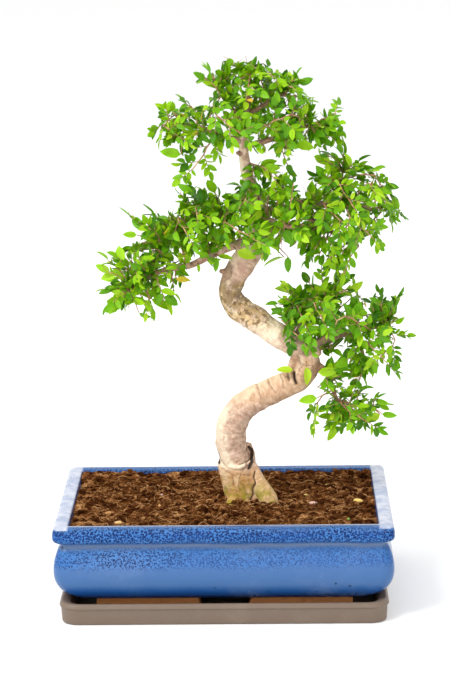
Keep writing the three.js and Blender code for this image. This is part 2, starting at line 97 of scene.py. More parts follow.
def makeStudio():
    scene.view_settings.view_transform = "Standard"
    world = bpy.data.worlds.new("studio")
    world.use_nodes = True
    backdrop = world.node_tree.nodes["Background"]
    backdrop.inputs["Color"].default_value = (*studio["backdrop"], 1.0)
    backdrop.inputs["Strength"].default_value = studio["backdropStrength"]
    scene.world = world
    for name, (spot, size, watts) in studio["lamps"].items():
        lamp = bpy.data.objects.new(name, bpy.data.lights.new(name, "AREA"))
        lamp.data.shape = "DISK"
        lamp.data.size = size
        lamp.data.energy = watts
        aim = Vector(studio["aim"]) - Vector(spot)
        lamp.matrix_world = Matrix.Translation(spot) @ aim.to_track_quat("-Z", "Y").to_matrix().to_4x4()
        scene.collection.objects.link(lamp)
    floorMesh = bpy.data.meshes.new("floor")
    bm = bmesh.new()
    bmesh.ops.create_grid(bm, x_segments=1, y_segments=1, size=studio["floorSize"] / 2)
    bm.to_mesh(floorMesh)
    bm.free()
    floor = bpy.data.objects.new("floor", floorMesh)
    scene.collection.objects.link(floor)
    paint = bpy.data.materials.new("floorPaint")
    paint.use_nodes = True
    shader = paint.node_tree.nodes["Principled BSDF"]
    shader.inputs["Base Color"].default_value = studio["floorColour"]
    shader.inputs["Roughness"].default_value = 0.9
    floorMesh.materials.append(paint)


makeCamera()
makeStudio()
print("studio: camera, lamps and floor")


# Material helpers

# Values set on a node's own sockets, or other sockets linked to them
def feed(tree, node, inputs):
    for key, value in inputs.items():
        if isinstance(value, bpy.types.NodeSocket):
            tree.links.new(value, node.inputs[key])
        else:
            node.inputs[key].default_value = value


def addNode(tree, kind, inputs=None, **settings):
    made = tree.nodes.new("ShaderNode" + kind)
    for key, value in settings.items():
        setattr(made, key, value)
    feed(tree, made, inputs or {})
    return made


def mixColours(tree, share, under, over, blend="MIX"):
    given = {0: share, 6: under, 7: over}
    return addNode(tree, "Mix", given, data_type="RGBA", blend_type=blend).outputs[2]


def calculate(tree, operation, *values):
    return addNode(tree, "Math", dict(enumerate(values)), operation=operation).outputs[0]


def ramp(tree, share, stops):
    made = addNode(tree, "ValToRGB", {"Fac": share})
    while len(made.color_ramp.elements) < len(stops):
        made.color_ramp.elements.new(0.5)
    for element, (share, colour) in zip(made.color_ramp.elements, stops):
        element.position = share
        element.color = (*colour, 1.0) if len(colour) == 3 else colour
    return made.outputs["Color"]


def times(tree, first, *others):
    for other in others:
        first = calculate(tree, "MULTIPLY", first, other)
    return first


def plus(tree, first, second):
    return calculate(tree, "ADD", first, second)


def minus(tree, first, second):
    return calculate(tree, "SUBTRACT", first, second)


# A colour laid over another where all the masks let it through
def layer(tree, under, over, *masks):
    return mixColours(tree, times(tree, *masks), under, over)


# A value from 0 at one end of a range to 1 at the other, smooth at both ends or straight
def fromTo(tree, value, low, high, kind="SMOOTHSTEP"):
    given = {"Value": value, "From Min": low, "From Max": high}
    return addNode(tree, "MapRange", given, interpolation_type=kind).outputs["Result"]


# A value of 1 inside a band that fades out over a range at each end
def band(tree, value, lower, upper):
    return times(tree, fromTo(tree, value, *lower), fromTo(tree, value, *upper))


def coordinate(tree, spot, axis):
    return addNode(tree, "SeparateXYZ", {"Vector": spot}).outputs[axis]


def attribute(tree, name):
    return addNode(tree, "Attribute", attribute_name=name).outputs["Fac"]


def cloud(tree, spot, scale, detail, **more):
    given = {"Vector": spot, "Scale": scale, "Detail": detail, **more}
    return addNode(tree, "TexNoise", given).outputs["Fac"]


def cells(tree, spot, scale, randomness=1.0):
    given = {"Vector": spot, "Scale": scale, "Randomness": randomness}
    return addNode(tree, "TexVoronoi", given).outputs["Distance"]


def newMaterial(name):
    material = bpy.data.materials.new(name)
    material.use_nodes = True
    tree = material.node_tree
    return material, tree, tree.nodes["Principled BSDF"]


# A group with named sockets, built once and placed in each material that needs it
def newGroup(name, inputs, outputs):
    group = bpy.data.node_groups.new(name, "ShaderNodeTree")
    for key, kind in inputs.items():
        group.interface.new_socket(key, in_out="INPUT", socket_type=kind)
    for key, kind in outputs.items():
        group.interface.new_socket(key, in_out="OUTPUT", socket_type=kind)
    return group, group.nodes.new("NodeGroupInput").outputs, group.nodes.new("NodeGroupOutput").inputs


def place(tree, group, inputs):
    return addNode(tree, "Group", inputs, node_tree=group).outputs


# Patches: soft noise turned into a mask
def makePatches():
    sockets = {"Place": "NodeSocketVector", **dict.fromkeys(("Scale", "Low", "High"), "NodeSocketFloat")}
    group, given, result = newGroup("patches", sockets, {"Mask": "NodeSocketFloat"})
    soft = cloud(group, given["Place"], given["Scale"], 4.0, Roughness=0.6)
    group.links.new(fromTo(group, soft, given["Low"], given["High"]), result["Mask"])
    return group


# Grain: a fine height pattern
def makeGrain():
    sockets = {"Place": "NodeSocketVector", **dict.fromkeys(("Scale", "Roughness"), "NodeSocketFloat")}
    group, given, result = newGroup("grain", sockets, {"Height": "NodeSocketFloat"})
    grit = cloud(group, given["Place"], given["Scale"], 6.0, Roughness=given["Roughness"])
    group.links.new(grit, result["Height"])
    return group


patches = makePatches()
grain = makeGrain()


def patchMask(tree, spot, scale, low, high):
    return place(tree, patches, {"Place": spot, "Scale": scale, "Low": low, "High": high})["Mask"]


def grainHeight(tree, spot, scale, roughness):
    return place(tree, grain, {"Place": spot, "Scale": scale, "Roughness": roughness})["Height"]


def objectPlace(tree):
    return addNode(tree, "TexCoord").outputs["Object"]


def addBump(tree, shader, height, distance):
    bump = addNode(tree, "Bump", {"Height": height, "Distance": distance, "Strength": 1.0})
    tree.links.new(bump.outputs["Normal"], shader.inputs["Normal"])


# Mesh helpers

def toMesh(bm, name):
    mesh = bpy.data.meshes.new(name)
    bm.to_mesh(mesh)
    bm.free()
    return mesh


def looseObject(bm, name):
    made = bpy.data.objects.new(name, toMesh(bm, name))
    scene.collection.objects.link(made)
    return made


def newPiece(bm, name, materials, replaced=(), sharp=38):
    piece = looseObject(bm, name)
    piece.data.shade_smooth()
    piece.data.set_sharp_from_angle(angle=math.radians(sharp))
    for material in materials:
        piece.data.materials.append(material)
    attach(piece, "root")
    if replaced:
        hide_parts(*replaced)
    return piece


# A mesh with a modifier applied
def bake(bm, kind, **settings):
    work = looseObject(bm, "work")
    modifier = work.modifiers.new(kind, kind)
    for key, value in settings.items():
        setattr(modifier, key, value)
    shown = work.evaluated_get(bpy.context.evaluated_depsgraph_get())
    result = bmesh.new()
    result.from_mesh(bpy.data.meshes.new_from_object(shown))
    bpy.data.objects.remove(work)
    return result


def cutAway(bm, cutter, name):
    cutter = looseObject(cutter, name)
    result = bake(bm, "BOOLEAN", operation="DIFFERENCE", object=cutter, solver="EXACT")
    bpy.data.objects.remove(cutter)
    return result


# The places to look up the nearest of
def makeFinder(places):
    finder = KDTree(len(places))
    for i, spot in enumerate(places):
        finder.insert(spot, i)
    finder.balance()
    return finder


# A smooth line through points [x, y, z, radius] in mm, as a list of (place, radius) in metres
def smoothLine(points, perSpan):
    places = [Vector(point[:3]) for point in points]
    radii = [point[3] for point in points]
    places = [2 * places[0] - places[1], *places, 2 * places[-1] - places[-2]]
    line = []
    for i in range(1, len(places) - 2):
        p0, p1, p2, p3 = places[i - 1:i + 3]
        d1, d2, d3 = (max((b - a).length, 1e-6) ** 0.5 for a, b in ((p0, p1), (p1, p2), (p2, p3)))
        own1, own2 = ((2 * d * d + 3 * d * d2 + d2 * d2) for d in (d1, d3))
        handle1 = (d1 * d1 * p2 - d2 * d2 * p0 + own1 * p1) / (3 * d1 * (d1 + d2))
        handle2 = (d3 * d3 * p1 - d2 * d2 * p3 + own2 * p2) / (3 * d3 * (d3 + d2))
        span = interpolate_bezier(p1, handle1, handle2, p2, perSpan + 1)
        for j, spot in enumerate(span[:-1]):
            share = j / perSpan
            line.append((spot * mm, (radii[i - 1] * (1 - share) + radii[i] * share) * mm))
    line.append((places[-2] * mm, radii[-1] * mm))
    return line


# Frames along a line: its turn, without twist, at each place
def framesAlong(line):
    frames = []
    turn = None
    for i, (spot, radius) in enumerate(line):
        ahead = line[min(i + 1, len(line) - 1)][0] - line[max(i - 1, 0)][0]
        ahead.normalize()
        if turn is None:
            turn = ahead.to_track_quat("Z", "Y")
        else:
            turn = (turn @ Vector((0, 0, 1))).rotation_difference(ahead) @ turn
        frames.append((Matrix.Translation(spot) @ turn.to_matrix().to_4x4(), radius))
    return frames


# The vertices and the edges that a ring of edges grows when it is extruded
def extrudeRing(bm, edges):
    grown = bmesh.ops.extrude_edge_only(bm, edges=edges)["geom"]
    kinds = bmesh.types.BMVert, bmesh.types.BMEdge
    return [[item for item in grown if isinstance(item, kind)] for kind in kinds]


# A closed limb: a ring extruded from frame to frame
def addLimb(bm, line, sides, bark=None):
    frames = framesAlong(line)
    first = frames[0][0] @ Matrix.Scale(frames[0][1], 4)
    ring = bmesh.ops.create_circle(bm, segments=sides, radius=1.0, matrix=first)["verts"]
    made = list(ring)
    edges = list({edge for vert in ring for edge in vert.link_edges})
    before = first
    for turn, radius in frames[1:]:
        now = turn @ Matrix.Scale(radius, 4)
        verts, edges = extrudeRing(bm, edges)
        bmesh.ops.transform(bm, matrix=now @ before.inverted(), verts=verts)
        made += verts
        before = now
    if bark:
        for vert in made:
            turn, radius = min(frames, key=lambda item: (item[0].translation - vert.co).length_squared)
            flat = turn.inverted() @ vert.co
            vert.co += (vert.co - turn.translation) * (bark(math.atan2(flat.y, flat.x)) - 1)
    rims = [edge for edge in {e for v in made for e in v.link_edges} if edge.is_boundary]
    bmesh.ops.holes_fill(bm, edges=rims, sides=0)
    faces = list({face for vert in made for face in vert.link_faces})
    bmesh.ops.recalc_face_normals(bm, faces=faces)
    return frames


# Points of a rectangle with round corners, in mm, anticlockwise
def squareRing(length, depth, corner, cornerSteps, straights):
    def arc(quarter):
        sideX = 1 if quarter in (0, 3) else -1
        sideY = 1 if quarter < 2 else -1
        centre = Vector((sideX * (length / 2 - corner), sideY * (depth / 2 - corner)))
        angles = [(quarter + step / cornerSteps) * math.pi / 2 for step in range(cornerSteps + 1)]
        return [centre + corner * Vector((math.cos(a), math.sin(a))) for a in angles]

    points = []
    for quarter in range(4):
        bend, after = arc(quarter), arc((quarter + 1) % 4)
        steps = straights[quarter % 2]
        points += bend + [bend[-1].lerp(after[0], step / steps) for step in range(1, steps)]
    return points


# A closed vessel: a rectangular ring extruded through a profile of [inset, z, corner]
def addVessel(bm, profile, length, depth, cornerSteps=8, straights=(40, 28)):
    column = bm.verts.layers.int.new("column")
    count = 4 * (cornerSteps + 1) + 2 * (sum(straights) - 2)
    ring = bmesh.ops.create_circle(bm, segments=count, radius=1.0)["verts"]
    for i, vert in enumerate(ring):
        vert[column] = i
    edges = bm.edges[:]
    for i, (inset, z, corner) in enumerate(profile):
        outline = squareRing(length - 2 * inset, depth - 2 * inset, corner, cornerSteps, straights)
        for vert in ring:
            vert.co = Vector((*outline[vert[column]], z)) * mm
        if i < len(profile) - 1:
            ring, edges = extrudeRing(bm, edges)
    bmesh.ops.holes_fill(bm, edges=[edge for edge in bm.edges if edge.is_boundary], sides=0)
    bmesh.ops.recalc_face_normals(bm, faces=bm.faces)


# A profile with rounder turns: a smooth line through its rings
def roundedProfile(profile, perSpan):
    line = smoothLine([(inset, z, 0, corner) for inset, z, corner in profile], perSpan)
    return [(max(spot.x / mm, 0), spot.y / mm, radius / mm) for spot, radius in line]


# Tray

tray = {
    "length": 300,
    "depth": 232,
    "colour": (0.150, 0.106, 0.074, 1.0),
    "wornColour": (0.172, 0.125, 0.091, 1.0),
    "roughness": 0.5,
    # inset, z, corner radius, outside from below to inside
    "profile": [
        (4, 0, 14), (2.4, 0.8, 15), (2, 1.8, 15), (1.4, 12, 16), (1.2, 14.4, 16), (0.5, 15.1, 16.6),
        (0, 15.8, 17), (0.1, 17, 17), (0.8, 18.7, 17), (1.7, 19.7, 16.7), (2.6, 20, 16.5), (3.6, 19.8, 16),
        (6, 19, 15), (8.6, 18.1, 13), (9.5, 17.4, 12.6), (9.8, 16, 12.4), (10.2, 10, 12), (10.6, 5, 11.6),
        (11.2, 3.6, 11.4), (13, 3, 10),
    ],
}


def makeTray():
    bm = bmesh.new()
    addVessel(bm, tray["profile"], tray["length"], tray["depth"])
    material, tree, shader = newMaterial("taupePlastic")
    spot = objectPlace(tree)
    scuffs = patchMask(tree, spot, 34.0, 0.45, 0.75)
    colour = mixColours(tree, scuffs, tray["colour"], tray["wornColour"])
    feed(tree, shader, {"Base Color": colour, "Roughness": tray["roughness"]})
    addBump(tree, shader, grainHeight(tree, spot, 900.0, 0.5), 0.0002)
    return newPiece(bm, "tray", [material], ["drip_tray"])


makeTray()
print("tray: done")


# Pot

pot = {
    "length": 310,
    "depth": 220,
    "profile": [
        (28, 15, 14), (18, 18.5, 16), (9, 24, 17), (3.6, 31, 16), (0.8, 39, 14), (0, 48, 12), (1.2, 58, 11),
        (4.2, 67, 9), (6.5, 71.5, 8), (6, 73.5, 8), (2.2, 75, 7), (0.4, 77.5, 6), (0, 82, 6), (0.8, 87, 6),
        (2.5, 89, 5), (12.5, 89, 4), (14, 87.5, 4), (14, 56, 5), (18, 36, 7), (36, 22, 8),
    ],
    "foot": (21, 118, -74, 14, 3, 13),  # inner end, outer end, front, thickness, underside, height
    "footSlant": 5,
    "footEdge": 0.9,
    "rimTop": 90,
    "drainX": 80,
    "drainRadius": 11,
    # height in mm and the glaze's colour there, from below
    "bands": [
        (15, (0.004, 0.018, 0.110)), (20, (0.006, 0.040, 0.20)), (28, (0.012, 0.075, 0.26)),
        (36, (0.050, 0.128, 0.30)), (50, (0.058, 0.135, 0.315)), (57, (0.034, 0.112, 0.33)),
        (68, (0.040, 0.120, 0.32)), (71.5, (0.13, 0.185, 0.30)), (74.5, (0.032, 0.090, 0.25)),
        (81, (0.012, 0.070, 0.27)), (85.5, (0.006, 0.034, 0.17)), (88.2, (0.045, 0.105, 0.26)),
    ],
    # heights in metres between which the cells fade in and out again
    "lipCells": ((0.073, 0.077), (0.0915, 0.0875)),
    "bellyCells": ((0.047, 0.057), (0.073, 0.065)),
    # heights of the rim's flat top, where the painted pale reflection lies
    "rimFlat": (0.0872, 0.0884),
    "milk": (0.092, 0.165, 0.34, 1.0),
    "navy": (0.0004, 0.013, 0.075, 1.0),
    "bright": (0.055, 0.190, 0.47, 1.0),
    # the painted reflection's two mottled colours on the rim's flat top
    "pale": (0.50, 0.52, 0.60, 1.0),
    "reflectionPaleBlue": (0.31, 0.36, 0.49, 1.0),
    "pit": (0.010, 0.012, 0.035, 1.0),
    "clay": (0.95, 0.38, 0.13, 1.0),
    # burnt patches on the feet, and painted shade along their tops
    "charredAndShadedClay": (0.42, 0.13, 0.06, 1.0),
}


def makeGlaze():
    material, tree, shader = newMaterial("blueGlaze")
    spot = objectPlace(tree)
    across, away, height = (coordinate(tree, spot, axis) for axis in "XYZ")
    wave = cloud(tree, spot, 22.0, 3.0)
    level = plus(tree, height, times(tree, minus(tree, wave, 0.5), 0.007))
    low, high = pot["bands"][0][0], pot["rimTop"]
    share = fromTo(tree, level, low * mm, high * mm, "LINEAR")
    bands = ramp(tree, share, [((z - low) / (high - low), colour) for z, colour in pot["bands"]])
    milky = patchMask(tree, spot, 14.0, 0.50, 0.72)
    colour = layer(tree, bands, pot["milk"], milky, fromTo(tree, height, 0.074, 0.066), 0.6)
    # Cells: bright walls round dark middles, gathered in a band on the lip and one on the belly
    wobble = addNode(tree, "TexNoise", {"Vector": spot, "Scale": 260.0, "Detail": 2.0}).outputs["Color"]
    froth = cells(tree, mixColours(tree, 0.0012, spot, wobble, "ADD"), 580.0, 0.9)
    middles = fromTo(tree, froth, 0.56, 0.28)
    walls = fromTo(tree, froth, 0.45, 0.75)
    lip = band(tree, level, *pot["lipCells"])
    belly = band(tree, level, *pot["bellyCells"])
    leftmost = times(tree, fromTo(tree, across, 0.10, -0.12), 0.45)
    belly = times(tree, belly, plus(tree, leftmost, 0.5))
    gather = plus(tree, times(tree, patchMask(tree, spot, 16.0, 0.34, 0.60), 0.45), 0.6)
    crowd = times(tree, calculate(tree, "MAXIMUM", lip, belly), gather)
    few = times(tree, patchMask(tree, spot, 60.0, 0.46, 0.8), 0.2)
    crowd = calculate(tree, "MAXIMUM", crowd, few)
    colour = layer(tree, colour, pot["bright"], walls, crowd, 0.75)
    dark = times(tree, middles, crowd)
    colour = layer(tree, colour, pot["navy"], dark, 0.97)
    # Painted reflection: the flat top of the rim is made pale on the left and the right, and along its
    # front's inner edge, as if it mirrored the white studio
    mottle = patchMask(tree, spot, 70.0, 0.36, 0.64)
    aside = calculate(tree, "ABSOLUTE", across)
    inmost = times(tree, fromTo(tree, away, -0.1022, -0.1002), fromTo(tree, away, -0.05, -0.08), 0.8)
    paintedReflectionMask = calculate(tree, "MAXIMUM", fromTo(tree, aside, 0.1395, 0.1425), inmost)
    pale = mixColours(tree, mottle, pot["reflectionPaleBlue"], pot["pale"])
    colour = layer(tree, colour, pale, fromTo(tree, height, *pot["rimFlat"]), paintedReflectionMask)
    pits = fromTo(tree, cells(tree, spot, 62.0), 0.075, 0.045)
    colour = layer(tree, colour, pot["pit"], pits, 0.75)
    rough = addNode(tree, "MapRange", {"Value": milky, "To Min": 0.20, "To Max": 0.34}).outputs["Result"]
    feed(tree, shader, {
        "Base Color": colour, "Roughness": rough, "Specular IOR Level": 0.12, "Coat Weight": 0.06,
        "Coat Roughness": 0.07,
    })
    relief = minus(tree, minus(tree, wave, times(tree, pits, 0.8)), times(tree, dark, 0.2))
    addBump(tree, shader, relief, 0.0006)
    return material


def makeClay():
    material, tree, shader = newMaterial("bareClay")
    spot = objectPlace(tree)
    burntAndShaded = patchMask(tree, spot, 45.0, 0.52, 0.85)
    # Painted shade: a thin dark line along the top of each foot, under the pot, in the same charred colour
    # as the real burnt patches
    shadedTop = fromTo(tree, coordinate(tree, spot, "Z"), 0.0158, 0.0168)
    burntAndShaded = calculate(tree, "MAXIMUM", burntAndShaded, shadedTop)
    feed(tree, shader, {
        "Base Color": mixColours(tree, burntAndShaded, pot["clay"], pot["charredAndShadedClay"]), "Roughness": 0.85,
    })
    addBump(tree, shader, grainHeight(tree, spot, 700.0, 0.6), 0.0004)
    return material


def makePot():
    bm = bmesh.new()
    addVessel(bm, roundedProfile(pot["profile"], 4), pot["length"], pot["depth"])
    drill = bmesh.new()
    for side in (-1, 1):
        centre = Matrix.Translation((side * pot["drainX"] * mm, 0, 18 * mm))
        radius = pot["drainRadius"] * mm
        bmesh.ops.create_cone(
            drill, cap_ends=True, segments=32, radius1=radius, radius2=radius, depth=30 * mm, matrix=centre,
        )
    bm = cutAway(bm, drill, "drill")
    inner, outer, front, thickness, underside, height = pot["foot"]
    for sideX in (-1, 1):
        for frontY in (front, -front - thickness):
            foot = bmesh.ops.create_cube(bm, size=1.0)["verts"]
            for vert in foot:
                slant = pot["footSlant"] if vert.co.z > 0 else 0
                x = inner + slant if vert.co.x < 0 else outer
                back, up = (vert.co.y + 0.5) * thickness, (vert.co.z + 0.5) * height
                vert.co = Vector((sideX * x, frontY + back, underside + up)) * mm
            faces = list({face for vert in foot for face in vert.link_faces})
            bmesh.ops.recalc_face_normals(bm, faces=faces)
            edges = list({edge for face in faces for edge in face.edges})
            for face in faces:
                face.material_index = 1
            bmesh.ops.bevel(
                bm, geom=edges, offset=pot["footEdge"] * mm, offset_type="OFFSET", segments=2, profile=0.5,
                affect="EDGES", material=-1,
            )
    return newPiece(bm, "glazed_pot", [makeGlaze(), makeClay()], ["pot"])


makePot()
print("pot: done")


# Drain mesh plates, under the soil

def dressDrains():
    material, tree, shader = newMaterial("meshPlastic")
    spot = objectPlace(tree)
    dirt = patchMask(tree, spot, 90.0, 0.4, 0.7)
    colour = mixColours(tree, dirt, (0.012, 0.014, 0.012, 1.0), (0.08, 0.05, 0.03, 1.0))
    feed(tree, shader, {"Base Color": colour, "Roughness": 0.6})
    addBump(tree, shader, grainHeight(tree, spot, 800.0, 0.5), 0.0002)
    for name in ("drain_mesh_left", "drain_mesh_right"):
        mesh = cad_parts[name].data
        mesh.materials.clear()
        mesh.materials.append(material)


dressDrains()


# Soil

soil = {
    "level": 83.5,
    "mound": 5,
    "moundRadius": 46,
    "tree": (24, -1),
    "treeClear": 17,
    "relief": [(2.2, 0, 11), (2.0, 30, 4.5), (1.5, 60, 2.1)],  # height, seed and grain, mm
    "backRise": (3.2, 55, 38),  # towards the back: height, from and over this many mm
    "rim": (140, 95, 88, 0.15),  # the pot's inner half sizes, the height there, slope away from it
    "inside": (281.4, 191.4, 5),  # length, depth and corner radius of the pot's inside, less a gap
    "cells": (200, 136),
    "crumbs": 2600,
    "crumbSizes": ((0.6, 1.3), (1.3, 3.4)),  # fine and coarse, mm
    "fineShare": 0.7,
    "fibres": 2400,
    "fibreLength": (4, 17),
    "fibreRadius": (0.2, 0.6),
    "fibreLift": (0.2, 2.2),
    "colours": [
        (0.0, (0.006, 0.0012, 0.0002)), (0.34, (0.050, 0.013, 0.0025)), (0.62, (0.190, 0.070, 0.019)),
        (1.0, (0.66, 0.37, 0.16)),
    ],
    # the tints of the bits, from straw over husk and rose to green
    "bitColours": [
        (0.0, (0.78, 0.56, 0.12)), (0.3, (0.66, 0.42, 0.16)), (0.5, (0.60, 0.36, 0.29)),
        (1.0, (0.17, 0.40, 0.02)),
    ],
    # husks and bits on the soil: place, length in mm, turn, tint
    "bits": [
        ((75, 14), 7.5, 0.5, 0.0), ((98, 53), 5.0, 0.2, 0.0), ((125, -8), 10.5, -0.5, 0.08),
        ((83, -13), 9.0, -0.2, 0.5), ((114, -64), 6.2, 0.9, 1.0), ((118, -52), 4.0, 2.0, 0.9),
        ((-96, -72), 9.0, 0.1, 0.3), ((-60, 20), 4.5, 1.0, 0.5), ((20, -60), 3.2, 2.2, 0.4),
        ((-20, 40), 3.0, 0.6, 0.1),
    ],
}


# The height of the soil in mm: a mound round the tree, long swells, and a crumbly surface
def soilHeight(x, y):
    away = math.hypot(x - soil["tree"][0], y - soil["tree"][1]) / soil["moundRadius"]
    height = soil["level"] + soil["mound"] * math.exp(-away * away)
    height += 1.3 * math.sin(x * 0.045 + 1.3) * math.cos(y * 0.06) + 0.9 * math.sin(x * 0.11 + y * 0.13)
    for rise, seed, grit in soil["relief"]:
        height += rise * noise.noise(Vector((x, y, seed)) / grit)
    rise, start, over = soil["backRise"]
    height += rise * min(max((y - start) / over, 0), 1)
    halfX, halfY, most, slope = soil["rim"]
    edge = min(halfX - abs(x), halfY - abs(y))
    return min(height, most + slope * max(edge, 0))


def makeSoilLook(name, tone=None):
    material, tree, shader = newMaterial(name)
    spot = objectPlace(tree)
    strands = cloud(tree, spot, 300.0, 6.0, Roughness=0.75, Distortion=1.6)
    value = times(tree, plus(tree, strands, cloud(tree, spot, 70.0, 4.0)), 0.5)
    value = fromTo(tree, value, 0.36, 0.64, "LINEAR")
    if tone:
        value = plus(tree, times(tree, value, 0.4), times(tree, attribute(tree, tone), 0.6))
    colour = ramp(tree, value, soil["colours"])
    feed(tree, shader, {"Base Color": colour, "Roughness": 1.0, "Specular IOR Level": 0.03})
    addBump(tree, shader, strands, 0.0016)
    return material


def makeSoilBody(look):
    bm = bmesh.new()
    length, depth, corner = soil["inside"]
    across, back = soil["cells"]
    bmesh.ops.create_grid(bm, x_segments=across, y_segments=back, size=1.0)
    half = Vector((length / 2, depth / 2))
    for vert in bm.verts:
        x, y = vert.co.x * half.x, vert.co.y * half.y
        overX, overY = abs(x) - (half.x - corner), abs(y) - (half.y - corner)
        if overX > 0 and overY > 0:  # round the corner
            long = max(overX, overY) / math.hypot(overX, overY)
            x = math.copysign(half.x - corner + overX * long, x)
            y = math.copysign(half.y - corner + overY * long, y)
        vert.co = Vector((x, y, soilHeight(x, y))) * mm
    edges = [edge for edge in bm.edges if edge.is_boundary]
    before = 0
    for inset, z in ((0, 56), (4, 36), (22, 22.3)):  # down along the pot's inner wall
        ring, edges = extrudeRing(bm, edges)
        for vert in ring:
            vert.co.x *= (half.x - inset) / (half.x - before)
            vert.co.y *= (half.y - inset) / (half.y - before)
            vert.co.z = z * mm
        before = inset
    bmesh.ops.holes_fill(bm, edges=edges, sides=0)
    bmesh.ops.recalc_face_normals(bm, faces=bm.faces)
    return newPiece(bm, "soil_body", [look], ["soil"], sharp=60)


# A place on the soil that is clear of the trunk's foot
def soilSpot(rng, margin=4):
    while True:
        x = rng.uniform(-1, 1) * (soil["inside"][0] / 2 - margin)
        y = rng.uniform(-1, 1) * (soil["inside"][1] / 2 - margin)
        if math.hypot(x - soil["tree"][0], y - soil["tree"][1]) > soil["treeClear"]:
            return x, y


# A copy of a small mesh in a larger one, its vertices moved by a rule and its layers painted
def addCopy(bm, mesh, move, paint):
    start = len(bm.verts)
    bm.from_mesh(mesh)
    bm.verts.ensure_lookup_table()
    layers = [(bm.verts.layers.float[name], value) for name, value in paint.items()]
    for vert in bm.verts[start:]:
        vert.co = move(vert.co)
        for layer, value in layers:
            vert[layer] = value


# The rule that bends a strand of eight steps along nine frames
def alongFrames(frames):
    def bend(spot):
        turn, radius = frames[round(spot.x * 8)]
        return turn @ Vector((spot.y * radius, spot.z * radius, 0))

    return bend


# A straight strand one unit long along X with a radius of one unit
def makeStrand(sides, segments):
    bm = bmesh.new()
    addLimb(bm, [(Vector((i / segments, 0, 0)), 1.0) for i in range(segments + 1)], sides)
    return toMesh(bm, "strand")


def makeCrumbs(look):
    rng = random.Random("crumbs")
    bm = bmesh.new()
    shade = bm.verts.layers.float.new("shade")
    fine, coarse = soil["crumbSizes"]
    for _ in range(soil["crumbs"]):
        x, y = soilSpot(rng)
        size = rng.uniform(*(fine if rng.random() < soil["fineShare"] else coarse))
        lay = Matrix.Rotation(rng.uniform(0, 6.28), 4, "Z")
        lay = lay @ Matrix.Rotation(rng.uniform(-0.6, 0.6), 4, "X")
        squash = rng.uniform(0.8, 2.0), rng.uniform(0.6, 1.1), rng.uniform(0.35, 0.8), 1
        lift = Matrix.Translation(Vector((x, y, soilHeight(x, y) + 0.25 * size)) * mm)
        lay = lift @ lay @ Matrix.Diagonal(squash)
        verts = bmesh.ops.create_icosphere(bm, subdivisions=1, radius=size * mm, matrix=lay)["verts"]
        tone = rng.random() ** 1.7
        for vert in verts:
            vert.co += Vector([rng.uniform(-0.2, 0.2) * size * mm for _ in range(3)])
            vert[shade] = tone
    return newPiece(bm, "soil_crumbs", [look], sharp=25)


def makeFibres(look):
    rng = random.Random("fibres")
    strand = makeStrand(3, 5)
    bm = bmesh.new()
    bm.verts.layers.float.new("shade")
    for _ in range(soil["fibres"]):
        x, y = soilSpot(rng, 14)
        heading, bend = rng.uniform(0, 2 * math.pi), rng.gauss(0, 0.8)
        long = rng.uniform(*soil["fibreLength"])
        thick, lift = rng.uniform(*soil["fibreRadius"]), rng.uniform(*soil["fibreLift"])

        def lay(spot):
            turn = heading + bend * (spot.x - 0.5)
            ahead, across = (Vector((math.cos(a), math.sin(a))) for a in (turn, turn + math.pi / 2))
            flat = Vector((x, y)) + ahead * long * (spot.x - 0.5) + across * spot.y * thick
            ground = (soilHeight(flat.x, flat.y) + soilHeight(x, y)) / 2
            return Vector((*flat, ground + lift * (1 - (2 * spot.x - 1) ** 2) + spot.z * thick + 0.2)) * mm

        addCopy(bm, strand, lay, {"shade": 0.25 + 0.85 * rng.random() ** 1.3})
    return newPiece(bm, "soil_fibres", [look])


# Seed husks, a chip of bark and a bit of green on the soil
def makeBits():
    material, tree, shader = newMaterial("husks")
    grit = cloud(tree, objectPlace(tree), 500.0, 3.0)
    change = times(tree, minus(tree, grit, 0.5), 0.2)
    colour = ramp(tree, plus(tree, attribute(tree, "tint"), change), soil["bitColours"])
    feed(tree, shader, {"Base Color": colour, "Roughness": 0.5})
    addBump(tree, shader, grit, 0.0004)
    bm = bmesh.new()
    layer = bm.verts.layers.float.new("tint")
    for (x, y), long, turn, tone in soil["bits"]:
        lift = Matrix.Translation(Vector((x, y, soilHeight(x, y) + 0.2 * long)) * mm)
        lift = lift @ Matrix.Rotation(turn, 4, "Z")
        half = long / 2 * mm
        for vert in bmesh.ops.create_icosphere(bm, subdivisions=2, radius=half)["verts"]:
            bow = long * 0.1 * mm * (vert.co.x / half) ** 2
            vert.co = lift @ Vector((vert.co.x, vert.co.y * 0.5 + bow, vert.co.z * 0.4))
            vert[layer] = tone
    return newPiece(bm, "soil_bits", [material])


soilLook = makeSoilLook("pottingSoil")
makeSoilBody(soilLook)
litterLook = makeSoilLook("soilLitter", "shade")
makeCrumbs(litterLook)
makeFibres(litterLook)
makeBits()
print("soil: done")


# Wood: trunk, collar, roots, stubs and branches. Lines are [x, y, z, radius] in mm.

